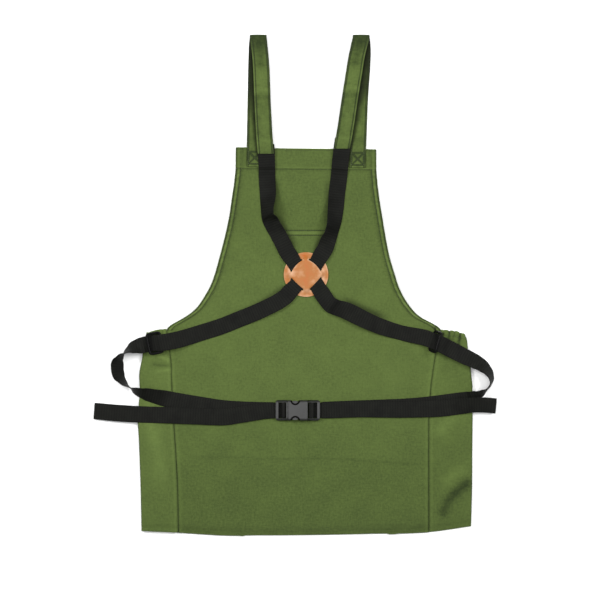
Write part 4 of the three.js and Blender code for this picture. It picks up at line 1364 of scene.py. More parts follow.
@dataclass
class BackPanel:
    """The apron's back panel with its bib, its turned hems and its seams."""

    lie: ClothLie
    node: str = "apron_body"
    edge_stitch: float = 2.0 * MM
    hem_stitch: float = 7.6 * MM
    bib_hem: float = 34.5 * MM
    groove: float = 0.25 * MM
    rope: float = 0.2 * MM
    fine: float = 0.9 * MM
    hem_zone: float = 12.6 * MM
    columns: int = 74
    evened: float = 3.6 * MM
    seam_rows: tuple[float, float] = (90.6 * MM, 82.7 * MM)
    seam_ends: tuple[float, float] = (-38.5 * MM, 65.5 * MM)
    seam_fade: float = 1.5 * MM
    seams: list[Seam] = field(default_factory=list)

    def rows(self, low: float, high: float, corner: float) -> Array:
        """Place the panel's rows, close together at its seams.

        Args:
            low: The lowest row.
            high: The highest row.
            corner: Y of the corner where the armholes end.

        Returns:
            Y of each row.
        """
        length = high - low
        stops = [(0, self.fine), (9 * MM, 3 * MM), (length - 46 * MM, self.fine)]
        seam = (np.array(self.seam_rows)[:, None] + np.array([-1.4, -0.7, 0, 0.7, 1.4]) * MM).ravel()
        at_corner = corner + np.arange(-5, 6) * 0.7 * MM
        rows = np.sort(np.concatenate([spaced(stops, length) + low, seam, at_corner]))
        keep = np.concatenate([[True], np.diff(rows) > 0.25 * MM])
        keep[-1] = True
        return rows[keep]

    def build(self) -> Piece:
        """Build the panel's mesh and note its seams.

        Returns:
            The panel.
        """
        outline = PanelOutline(self.node, self.evened, breaks=True)
        low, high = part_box(self.node)
        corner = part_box("side_gusset_left")[1].y
        rows = self.rows(low.y + HALF_CANVAS, high.y - HALF_CANVAS, corner)
        insets = spaced([(0, self.fine)], self.hem_zone)
        x, y = PanelGrid(outline, bow_reach=0.2, slant_reach=0.12).fill(rows, insets, self.columns)
        over = outline.shape.heights(x, y, upper=True)
        under = outline.shape.heights(x, y, upper=False)
        inset = np.minimum(x - x[:, :1], x[:, -1:] - x) + HALF_CANVAS
        down = outline.top.read(x) - y
        # The bib's top lies a little higher than the frame's, most of all on its left.
        raised = 1.1 * MM + 0.9 * MM * smoothstep(-x, 40 * MM, 75 * MM)
        y = y + raised * smoothstep(y, 185 * MM, 222 * MM)
        # Hems follow the armholes and end under the bib's own hem. Below them the sides are seams.
        hemmed = smoothstep(rows, corner - 1 * MM, corner)[:, None] * np.ones_like(x)
        open_side = 1 - hemmed
        bare = 0.25 + 0.75 * smoothstep(down, self.bib_hem - 4 * MM, self.bib_hem)
        grooves = bump(inset - self.edge_stitch, PULL) + bump(inset - self.hem_stitch, PULL)
        grooves = grooves * bare
        across = bump(down - (self.bib_hem - 2 * MM), PULL) + bump(down - 2 * MM, PULL)
        start, end, fade = *self.seam_ends, self.seam_fade
        seam_zone = smoothstep(x, start - fade, start + fade) * (1 - smoothstep(x, end - fade, end + fade))
        pouch_seam = sum(bump(y - row, PULL) for row in self.seam_rows) * seam_zone
        pulled = np.clip(grooves * hemmed + across + pouch_seam, 0, 1)
        ridge = bump(inset - 4.6 * MM, 2.2 * MM) * hemmed * bare
        run = y + 0.6 * x * np.sign(x)
        roping = np.sin(2 * math.pi * (run / (8.5 * MM) + 0.8 * soft_noise(x, y, 30 * MM, 21)))
        valley = bump(inset - HALF_CANVAS, PULL) * open_side
        bib_ridge = bump(down - 0.5 * self.bib_hem, 0.3 * self.bib_hem)
        half = (over - under) / 2 - self.groove * pulled + 0.15 * MM * ridge + 0.08 * MM * bib_ridge
        level = (over + under) / 2 + self.lie.lift(x, y)
        level = level + self.rope * roping * ridge - 0.5 * MM * valley
        # Wear and painted highlight show on the hems' ridges, along the bib's top and beside the seams.
        patchy = soft_noise(run, x * 0, 17 * MM, 23)
        worn_and_shaded = ridge * (0.3 + 0.2 * roping + 0.3 * patchy) + 0.3 * bump(down - 0.8 * MM, 1 * MM)
        worn_and_shaded = worn_and_shaded + 0.2 * bump(inset - 4 * MM, 2.2 * MM) * open_side
        worn_and_shaded = worn_and_shaded + 0.2 * bump(down - (self.bib_hem - 4 * MM), 1.6 * MM)
        between = sum(self.seam_rows) / 2
        puff_highlight = 0.5 * bump(y - between, 2.4 * MM) + 0.25 * bump(y - between - 7 * MM, 1.2 * MM)
        worn_and_shaded = worn_and_shaded + puff_highlight * seam_zone
        # Shade gathers in the grooves, beside the hems and the creases, and towards both ends.
        stitched = grooves * hemmed + pouch_seam + 0.5 * across
        shade = 1.1 * np.clip(stitched, 0, 1) + 0.25 * bump(inset - 10.5 * MM, 2.5 * MM) * hemmed
        shade = shade + 0.5 * valley + 0.1 * bump(down - (self.bib_hem + 1 * MM), 1.4 * MM)
        shade = shade + 0.5 * bump(inset - 0.8 * MM, 0.9 * MM) * hemmed + self.lie.creased(x, y)
        shade = shade + 0.13 * smoothstep(y, 20 * MM, 130 * MM) + 0.3 * smoothstep(-y, 120 * MM, 400 * MM)
        middle = np.stack([x, y, level], 2)
        gloom = np.maximum(self.lie.under_rings(x, y), shade_of(CLOTH_SHADES, x, y))
        piece = closed_sheet("canvas_back_panel", middle, half, np.stack([x, y], 2), worn_and_shaded - shade, gloom)
        self.note_seams(middle + face_offset(middle, half), rows, corner, insets, down)
        return piece

    def note_seams(self, top: Array, rows: Array, corner: float, insets: Array, down: Array) -> None:
        """Note where the panel is stitched.

        Args:
            top: The panel's upper face over the grid.
            rows: The rows' own Y.
            corner: Y of the corner where the armholes end.
            insets: Distances of the close columns from the sides.
            down: Distance below the bib's top over the grid.
        """
        near = nearest(insets + HALF_CANVAS, self.edge_stitch)
        far = nearest(insets + HALF_CANVAS, self.hem_stitch)
        last = top.shape[1] - 1
        arm = (rows > corner + 2 * MM) & (rows < rows[-1] - self.bib_hem)
        self.seams += [top[arm, column] for column in (near, far, last - near, last - far)]
        for depth in (2 * MM, self.bib_hem - 2 * MM):
            self.seams.append(top[nearest(down[:, last // 2], depth), 2:-2])
        for level in self.seam_rows:
            row = top[nearest(rows, level)]
            self.seams.append(row[(row[:, 0] > self.seam_ends[0]) & (row[:, 0] < self.seam_ends[1])])


@dataclass
class PouchFront:
    """The pouch's front panel, with slanting mouths, lying on the floor under the back panel."""

    node: str = "pouch_front"
    stitch: float = 8 * MM
    columns: int = 70
    evened: float = 2.5 * MM
    seams: list[Seam] = field(default_factory=list)

    def build(self) -> Piece:
        """Build the panel's mesh and note its seams.

        Returns:
            The panel.
        """
        outline = PanelOutline(self.node, self.evened)
        low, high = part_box(self.node)
        length = high.y - low.y - 2 * HALF_CANVAS
        rows = spaced([(0, 3.6 * MM), (length - 190 * MM, 2 * MM)], length) + low.y + HALF_CANVAS
        insets = spaced([(0, 1 * MM)], 14 * MM)
        x, y = PanelGrid(outline, bow_reach=0.25, slant_reach=0.05).fill(rows, insets, self.columns)
        level = outline.shape.heights(x, y, upper=True) - HALF_CANVAS
        inset = np.minimum(x - x[:, :1], x[:, -1:] - x) + HALF_CANVAS
        groove = np.clip(bump(inset - self.stitch, PULL) + bump(high.y - y - self.stitch, PULL), 0, 1)
        half = HALF_CANVAS - 0.15 * MM * groove
        # Paler near the edges, with painted shade in the stitch grooves.
        worn_and_shaded = 0.4 * bump(inset - 3 * MM, 2 * MM) - 0.8 * groove
        middle = np.stack([x, y, level], 2)
        piece = closed_sheet("canvas_pouch_front", middle, half, np.stack([x, y], 2), worn_and_shaded)
        column = nearest(insets + HALF_CANVAS, self.stitch)
        offset = face_offset(middle, half)
        for face in (middle + offset, middle - offset):
            self.seams += [face[4:-3, column], face[4:-3, -1 - column]]
        return piece


@dataclass
class SideGusset:
    """The pouch's cloth round one side: from the seam on the back, round the fold, to the front."""

    side: Side
    lie: ClothLie
    folds: Sequence[Fold]
    creases: Sequence[tuple[float, float]]
    bulges: Sequence[tuple[float, float, float]]
    ruffle: float
    corner: float
    risen: float
    pale: float
    area: float
    hem_stitch: float = 8.5 * MM
    front_reach: float = 8.4 * MM
    half: float = HALF_CANVAS
    leg_columns: int = 44
    arc_columns: int = 14
    front_columns: int = 6
    seams: list[Seam] = field(default_factory=list)

    def __post_init__(self) -> None:
        """Name the node that the gusset stands for."""
        self.node = f"side_gusset_{self.side.name.lower()}"

    def build(self) -> Piece:
        """Build the gusset's mesh and note its seams.

        Returns:
            The gusset.
        """
        sign = self.side.value
        outline = PanelOutline(self.node, 2 * MM)
        low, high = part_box(self.node)
        seam_edge, fold_edge = (outline.right, outline.left) if sign < 0 else (outline.left, outline.right)
        length = high.y - low.y
        depth = spaced([(0, 0.8 * MM), (26 * MM, 2.4 * MM), (length - 12 * MM, 1 * MM)], length)[::-1]
        share = 1 - depth / length
        ys = low.y + self.half + share * (length - 2 * self.half)
        seam_x, fold_x = sign * seam_edge.read(ys), sign * fold_edge.read(ys)
        for _ in range(2):
            seam_x = sign * seam_edge.read(self.rows_at(outline, sign * seam_x, share))
            fold_x = sign * fold_edge.read(self.rows_at(outline, sign * fold_x, share))
        seam_x, fold_x = seam_x + self.half, fold_x - self.half
        for place, wide, out in self.bulges:
            fold_x = fold_x + out * MM * bump(depth / MM - place, wide)
        inner = outline.shape.heights(sign * (seam_x * 0.7 + fold_x * 0.3), ys, upper=True)
        level = smoothed(inner, 4) - self.half
        radius = (level - self.half) / 2
        turn = fold_x - radius
        leg = turn[:, None] + (seam_x - turn)[:, None] * np.linspace(1, 0, self.leg_columns)[None, :]
        angle = np.linspace(0, math.pi, self.arc_columns + 2)[None, 1:-1]
        arc_x = turn[:, None] + radius[:, None] * np.sin(angle)
        arc_z = self.half + radius[:, None] * (1 + np.cos(angle))
        back = np.linspace(0, 1, self.front_columns + 1)[None, :]
        front_x = turn[:, None] + (fold_x - self.front_reach - turn)[:, None] * back
        x = np.concatenate([leg, arc_x, front_x], 1)
        z = np.concatenate([level[:, None] + 0 * leg, arc_z, self.half + 0 * front_x], 1)
        reach = np.minimum(x, turn[:, None])
        y = self.rows_at(outline, sign * reach, share[:, None])
        near_fold = np.clip(1 - (fold_x[:, None] - reach) / self.corner, 0, 1)
        rounded = self.corner * (1 - np.sqrt(1 - near_fold**2))
        y = y - rounded * smoothstep(share, 0.8, 1)[:, None]
        y = y + self.risen * smoothstep(share, 0.94, 1)[:, None]
        middle = np.stack([sign * x, y, z], 2)
        flat = np.stack([flat_lengths(middle)[..., 0], y], 2)
        if sign < 0:
            middle, flat = middle[:, ::-1], flat[:, ::-1]
        piece, face = self.dress(middle, flat, depth[:, None] + 0 * x)
        self.seams.append(face[nearest(depth, self.hem_stitch), 2:-2])
        return piece

    def rows_at(self, outline: PanelOutline, x: Array, share: Array) -> Array:
        """Give Y a share of the way up from the bottom edge to the mouth."""
        bottom, mouth = outline.bottom.read(x) + self.half, outline.top.read(x) - self.half
        return bottom + (mouth - bottom) * share

    def dress(self, middle: Array, flat: Array, away: Array) -> tuple[Piece, Array]:
        """Gather the mouth, lay the folds and close the sheet.

        Args:
            middle: The sheet's middle over the grid.
            flat: Flat cloth coordinates over the grid: distance from the seam, and Y.
            away: Distance from the mouth over the grid.

        Returns:
            The gusset and its upper face over the grid.
        """
        x, y, run = middle[..., 0], middle[..., 1], flat[..., 0]
        is_back = smoothstep(middle[..., 2], self.half + 0.5 * MM, self.half + 3 * MM)
        crease = np.zeros(run.shape)
        for place, depth in self.creases:
            lean = 0.12 * MM * np.sin(place / MM) * away / MM
            reach = (9 + 12 * depth) * MM
            wide = (1.3 + 0.5 * depth) * MM * (1 + away / (25 * MM))
            crease += depth * bump(run - place - lean, wide) * np.exp(-away / reach)
        start = smoothstep(run, 2 * MM, 6 * MM)
        swell = soft_noise(run, away, 9 * MM, 50) * np.exp(-away / (16 * MM)) * start
        relief = self.ruffle * (0.45 * swell - crease * start) * is_back
        height = self.lie.lift(x, y)
        for fold in self.folds:
            height = height + fold.at(x, y)
        valley = bump(run - 0.3 * MM, PULL)
        turned = 1 - smoothstep(surface_normals(middle)[..., 2], 0.2, 0.97)
        middle = middle + surface_normals(middle) * relief[..., None]
        middle[..., 2] += (height - 0.5 * MM * valley) * is_back
        middle[..., 1] += 0.9 * relief * bump(away, 6 * MM)
        casing = bump(away - self.hem_stitch, 0.9 * MM)
        half = self.half - 0.12 * MM * casing + 0.2 * MM * (1 - smoothstep(away, 6 * MM, 9 * MM))
        # Painted highlight lies on the ruffles' crests and the folds' ridges, and painted shade in the
        # creases, round the turned fold, along the casing's stitching, in the seam's valley, in the folds'
        # hollows and towards the bottom. The mouth's edge and a strip beside the seam are paler.
        worn_and_shaded = self.pale + 0.4 * np.clip(swell, 0, 1) - 1.45 * crease * start
        worn_and_shaded = worn_and_shaded * is_back - 0.8 * turned * is_back
        worn_and_shaded = worn_and_shaded - 0.25 * casing + 0.2 * bump(away, 1.5 * MM) - 0.45 * valley
        worn_and_shaded = worn_and_shaded + 0.2 * bump(run - 4 * MM, 2 * MM) - 0.26 * smoothstep(-y, 120 * MM, 400 * MM)
        for fold in self.folds:
            worn_and_shaded = worn_and_shaded + 0.55 * fold.at(x, y) / MM * is_back
        gloom = self.lie.under_rings(x, y) * is_back
        piece = closed_sheet(f"canvas_{self.node}", middle, half, flat, worn_and_shaded, gloom)
        return piece, middle + face_offset(middle, half)


def side_gussets(lie: ClothLie) -> tuple[SideGusset, SideGusset]:
    """Set out the two gussets, whose mouths gather and gape differently.

    Args:
        lie: The lie of the cloth that they belong to.

    Returns:
        The left gusset and the right one.
    """
    left = SideGusset(
        Side.LEFT, lie, LEFT_FOLDS, LEFT_CREASES, LEFT_BULGES,
        ruffle=0.8 * MM, corner=4 * MM, risen=1.4 * MM, pale=0.12, area=0.0215,
    )
    right = SideGusset(
        Side.RIGHT, lie, RIGHT_FOLDS, RIGHT_CREASES, RIGHT_BULGES,
        ruffle=2.1 * MM, corner=6.5 * MM, risen=0.2 * MM, pale=0.0, area=0.0249,
    )
    return left, right


# The shade that a strap's upper leg throws on its lower one: depth below the fold in
# millimetres, how far the shade reaches past the upper leg's edge, and its share.
STRAP_SHADES = ((85, 30, 0.92), (115, 16, 0.88), (145, 10, 0.8), (190, 6, 0.7))


@dataclass
class ShoulderStrap:
    """A canvas strap, folded at its top and sewn on the bib, with its stitched edges and square."""

    name: str
    lie: ClothLie
    width: float = 27 * MM
    thickness: float = 2.4 * MM
    stitch: float = 3.2 * MM
    square_start: float = 3.4 * MM
    square: float = 20 * MM
    fold_shade: float = 80 * MM
    risen: float = 1.4 * MM
    spread: float = 2 * MM
    dull: float = 0.13
    seams: list[Seam] = field(default_factory=list)

    def aside_of(self, places: Array, leg: Array) -> Array:
        """Give how far places lie outside one leg of the strap in plan, below 0 over or under it."""
        away = places[..., None, :2] - leg[:, :2]
        return np.sqrt(np.square(away).sum(-1)).min(-1) - self.width / 2

    def build(self) -> Piece:
        """Build the strap's mesh and note its seams.

        Returns:
            The strap.
        """
        line = BandLine.of_node(self.name, self.width, self.thickness).resampled(1.3 * MM)
        if line.middle[0, 1] > line.middle[-1, 1]:
            line = line.turned()
        inner = (self.width - self.thickness) / 2
        shares = spaced([(0, 0.8 * MM), (5 * MM, 1.5 * MM)], inner)
        offsets = np.concatenate([shares - inner, (inner - shares)[::-1][1:]])
        middle = line.grid(offsets)
        along, far = line.along()[:, None] + 0 * offsets, np.abs(offsets)[None, :] + 0 * middle[..., 0]
        on_bib = smoothstep(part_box("apron_body")[1].y - middle[..., 1], 0, 6 * MM)
        middle[..., 2] += self.lie.lift(middle[..., 0], middle[..., 1]) * on_bib
        edge = self.width / 2 - far
        sewn_square = self.square_lines(along, offsets)
        groove = np.clip(bump(edge - self.stitch, PULL) + sewn_square, 0, 1)
        wavy = soft_noise(along, far, 11 * MM, 77)
        rumple = 0.7 * soft_noise(along, far * 0, 16 * MM, 61)
        rumple = rumple + 0.7 * soft_noise(along, far * 0.4, 6 * MM, 62)
        half = self.thickness / 2 - 0.25 * MM * groove
        half = half - 0.1 * MM * smoothstep(far, 0.2 * self.width, 0.5 * self.width)
        half = half + 0.1 * MM * wavy * bump(edge - 5 * MM, 4 * MM)
        middle[..., 2] += 0.22 * MM * rumple * (1 - on_bib)
        turn = int(np.argmax(line.middle[:, 1]))
        fold_x, fold_y = line.middle[turn, :2]
        aside = np.clip((middle[..., 0] - fold_x) * np.sign(fold_x) / self.width, 0, 1)
        spread = self.spread * np.sign(fold_x) * aside
        middle[..., 0] += spread * smoothstep(middle[..., 1] - fold_y, -35 * MM, -4 * MM)
        middle[..., 1] += self.risen * smoothstep(middle[..., 1] - fold_y, -25 * MM, 0)
        below = along[turn, 0] - along
        first = smoothstep(below, -1 * MM, 4 * MM)
        over = (1 - smoothstep(self.aside_of(middle, line.middle[:turn]), -3 * MM, 1 * MM)) * (1 - first)
        # Painted shade darkens the edges that lie on the floor or the bib, the stitch grooves and the square,
        # and the legs near the fold where they turn from the light; painted highlight lightens the edges over
        # the other leg and the raised swells and rumples. The whole strap is also a little darker.
        worn_and_shaded = (0.3 * over - 0.75 * (1 - over)) * bump(edge - 1 * MM, 1.3 * MM)
        worn_and_shaded = worn_and_shaded - 1.3 * groove - 0.7 * sewn_square + 0.25 * wavy + 0.22 * rumple - self.dull
        worn_and_shaded = worn_and_shaded - 0.65 * (1 - smoothstep(np.abs(below), 0, self.fold_shade))
        aside = self.aside_of(middle, line.middle[turn:])
        depths = [depth * MM for depth, _, _ in STRAP_SHADES]
        wide = np.interp(below, depths, [width * MM for _, width, _ in STRAP_SHADES])
        deep = np.interp(below, depths, [share for _, _, share in STRAP_SHADES])
        gloom = first * deep * (1 - smoothstep(aside / wide, 0, 1))
        flat = np.stack([offsets + 0 * along, along], 2)
        piece = closed_sheet(f"canvas_{self.name}", middle, half, flat, worn_and_shaded, gloom)
        offset = face_offset(middle, half)
        column = nearest(edge[0, : len(offsets) // 2], self.stitch)
        for face in (middle + offset, middle - offset):
            self.seams += [face[3:-3, column], face[3:-3, -1 - column]]
        face = middle + offset if surface_normals(middle)[0, 0, 2] > 0 else middle - offset
        for start, end in self.square_edges():
            steps = np.linspace(start, end, 12)
            self.seams.append(np.array([self.on_face(face, along[:, 0], offsets, *step) for step in steps]))
        return piece

    def square_edges(self) -> list[tuple[tuple[float, float], tuple[float, float]]]:
        """List the stitched square's four sides and its cross, as lengths along and offsets."""
        near, far, side = self.square_start, self.square_start + self.square, self.square / 2
        a, b, c, d = (near, -side), (near, side), (far, side), (far, -side)
        return [(a, b), (b, c), (c, d), (d, a), (a, c), (b, d)]

    def square_lines(self, along: Array, offsets: Array) -> Array:
        """Read how near the strap's cloth lies to the stitched square.

        Args:
            along: Distance from the strap's sewn end over the grid.
            offsets: Distances from its middle line.

        Returns:
            The nearness over the grid, from 0 to 1.
        """
        near = np.zeros(along.shape)
        for (run_a, off_a), (run_b, off_b) in self.square_edges():
            length = math.hypot(run_b - run_a, off_b - off_a)
            u, v = (run_b - run_a) / length, (off_b - off_a) / length
            ahead = np.clip((along - run_a) * u + (offsets - off_a) * v, 0, length)
            away = np.hypot(along - run_a - ahead * u, offsets - off_a - ahead * v)
            near = np.maximum(near, bump(away, 0.9 * MM))
        return near

    def on_face(self, face: Array, along: Array, offsets: Array, run: float, offset: float) -> Array:
        """Find a place on the strap's face by its length along and its offset."""
        row = face[nearest(along, run)]
        return np.array([np.interp(offset, offsets, row[:, k]) for k in range(3)])


@dataclass(frozen=True)
class Nudge:
    """A place where a webbing lies a little aside of the frame's, in millimetres."""

    x: float
    y: float
    aside_x: float
    aside_y: float
    reach: float
    wider: float = 0.0

    def near(self, middle: Array) -> Array:
        """Give how near each place lies, from 0 to 1."""
        away = np.hypot(middle[:, 0] - self.x * MM, middle[:, 1] - self.y * MM)
        return bump(away, self.reach * MM)[:, None]

    def shift(self, middle: Array) -> Array:
        """Give how far each place moves, in metres."""
        return self.near(middle) * np.array([self.aside_x, self.aside_y, 0]) * MM


@dataclass(frozen=True)
class Tilt:
    """A stretch where a webbing stands on its outer edge with its inner edge lifted."""

    y: float
    degrees: float
    above: float
    below: float
    outer: Side

    def angle(self, y: Array) -> Array:
        """Give how steeply the webbing stands at each place of its middle."""
        away = y - self.y * MM
        return math.radians(self.degrees) * bump(away, np.where(away > 0, self.above, self.below) * MM)


RIGHT_RING_NUDGES = (Nudge(240, -79, -5.5, 0, 24), Nudge(231, -110, -3.5, 0, 22))
# Round the patch and the buckle the webbing keeps its own width: centre, where it starts to
# spread and where it is at its widest, in millimetres.
NARROW_PLACES = ((18, 18, 26, 42), (4.4, -205.6, 37, 42))
NUDGES = {
    "cross_webbing_left": (
        Nudge(-48, 228, 0.8, 0, 28, 0.03),
        Nudge(-45, 160, -0.7, 0, 55, 0.03),
        Nudge(-37, 110, -2.6, 0, 17),
        Nudge(61, -31.5, -2.2, -4, 14),
        Nudge(92, -46, 0.3, 0.8, 30, 0.08),
        Nudge(173, -75, 0, 0, 26, -0.09),
        Nudge(214, -91, 0, 0.9, 22, -0.02),
        *RIGHT_RING_NUDGES,
    ),
    "cross_webbing_right": (
        Nudge(66, 205, -0.8, 0, 60, 0.04),
        Nudge(58, 86, -2.6, 0, 15),
        Nudge(-198, -90, 0, -2.2, 32, 0.04),
    ),
    "waist_webbing_right": (
        *RIGHT_RING_NUDGES,
        Nudge(262, -88, 0, 0.5, 24),
        Nudge(297, -184, -3.5, -2.4, 24, -0.04),
    ),
    "webbing_tail_left": (Nudge(-290, -205, 0, -1, 50, 0.04),),
    "webbing_tail_right": (Nudge(322, -203, 0, 0.3, 40, -0.07),),
    "side_ring_right": RIGHT_RING_NUDGES,
    "ring_tab_right": RIGHT_RING_NUDGES,
}
TILTS = {
    "cross_webbing_left": (Tilt(116, 40, 34, 8, Side.LEFT), Tilt(98, 14, 20, 26, Side.LEFT)),
    "cross_webbing_right": (Tilt(88, 36, 30, 17, Side.RIGHT),),
}
# How much wider than the frame's the loops round the buckle's bars hang.
SLACK = {"webbing_tail_left": 1.5 * MM, "webbing_tail_right": 3.7 * MM}


@dataclass
class WebbingRun:
    """One length of the black webbing, ribbed across, with its sealed ends."""

    node: str
    lie: ClothLie
    nudges: Sequence[Nudge] = ()
    tilts: Sequence[Tilt] = ()
    slack: float = 0.0
    width: float = 25 * MM
    thickness: float = 1.5 * MM
    step: float = 0.85 * MM
    columns: int = 19
    rib: float = WebbingFinish.rib
    rib_height: float = 0.1 * MM
    spread: float = 0.09

    def build(self) -> Piece:
        """Build the webbing's mesh.

        Returns:
            The webbing.
        """
        line = BandLine.of_node(self.node, self.width, self.thickness).resampled(self.step)
        inner = self.width / 2 - self.thickness / 2
        offsets = np.linspace(-1, 1, self.columns)
        offsets = inner * np.sign(offsets) * np.abs(offsets) ** 0.9
        line.middle = line.middle + sum(nudge.shift(line.middle) for nudge in self.nudges)
        if self.slack:
            line.middle[:, 0] += self.loosened(line.middle[:, 0])
        wider = self.spread
        for x, y, start, end in NARROW_PLACES:
            away = np.hypot(line.middle[:, 0] - x * MM, line.middle[:, 1] - y * MM)
            wider = wider * smoothstep(away, start * MM, end * MM)
        wider = 1 + wider[:, None] + sum(nudge.wider * nudge.near(line.middle) for nudge in self.nudges)
        middle = line.grid(offsets * wider)
        for tilt in self.tilts:
            pivot = inner * tilt.outer.value * np.sign(line.across[:, 0])[:, None]
            reach = offsets[None, :] - pivot
            angle = tilt.angle(line.middle[:, 1])[:, None]
            middle += line.across[:, None] * (reach * (np.cos(angle) - 1))[..., None]
            middle[..., 2] += np.abs(reach) * np.sin(angle)
        middle[..., 2] += self.lie.lift(middle[..., 0], middle[..., 1])
        along = line.along()
        half = np.full(middle.shape[:2], self.thickness / 2)
        half = half * (1 - 0.16 * np.abs(offsets / inner)[None, :] ** 4)
        half = half - self.rib_height * (1 - np.abs(np.sin(math.pi * along / self.rib)))[:, None]
        flat = np.stack(np.meshgrid(offsets, along), 2)
        gloom = shade_of(WEBBING_SHADES, middle[..., 0], middle[..., 1])
        return closed_sheet(f"black_{self.node}", middle, half, flat, None, gloom)

    def loosened(self, x: Array) -> Array:
        """Let the loop round the buckle's bar hang wider towards the buckle's middle.

        Args:
            x: X of the webbing's middle line.

        Returns:
            How far each place moves along X.
        """
        centre = (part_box("buckle_prongs")[0].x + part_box("buckle_housing")[1].x) / 2
        out = np.abs(x - centre)
        return self.slack * (1 - smoothstep(out - out.min(), 0, 3 * MM)) * np.sign(centre - x)


@dataclass
class RingTab:
    """The canvas loop that holds a ring at the side seam."""

    node: str
    nudges: Sequence[Nudge] = ()
    width: float = 20 * MM
    thickness: float = 2 * HALF_CANVAS
    columns: int = 13

    def build(self) -> Piece:
        """Build the loop's mesh.

        Returns:
            The loop.
        """
        line = BandLine.of_node(self.node, self.width, self.thickness).resampled(0.8 * MM)
        line.middle = line.middle + sum(nudge.shift(line.middle) for nudge in self.nudges)
        inner = self.width / 2 - self.thickness / 2
        offsets = np.linspace(-inner, inner, self.columns)
        middle = line.grid(offsets)
        half = np.full(middle.shape[:2], self.thickness / 2)
        edge = self.width / 2 - np.abs(offsets)[None, :] + 0 * half
        # Paler along the edges, with painted shade in the stitch lines.
        worn_and_shaded = 0.4 * bump(edge - 1 * MM, 1 * MM) - 0.4 * bump(edge - 3 * MM, 0.8 * MM)
        return closed_sheet(f"canvas_{self.node}", middle, half, flat_lengths(middle), worn_and_shaded)


# Leather, rings and buckle


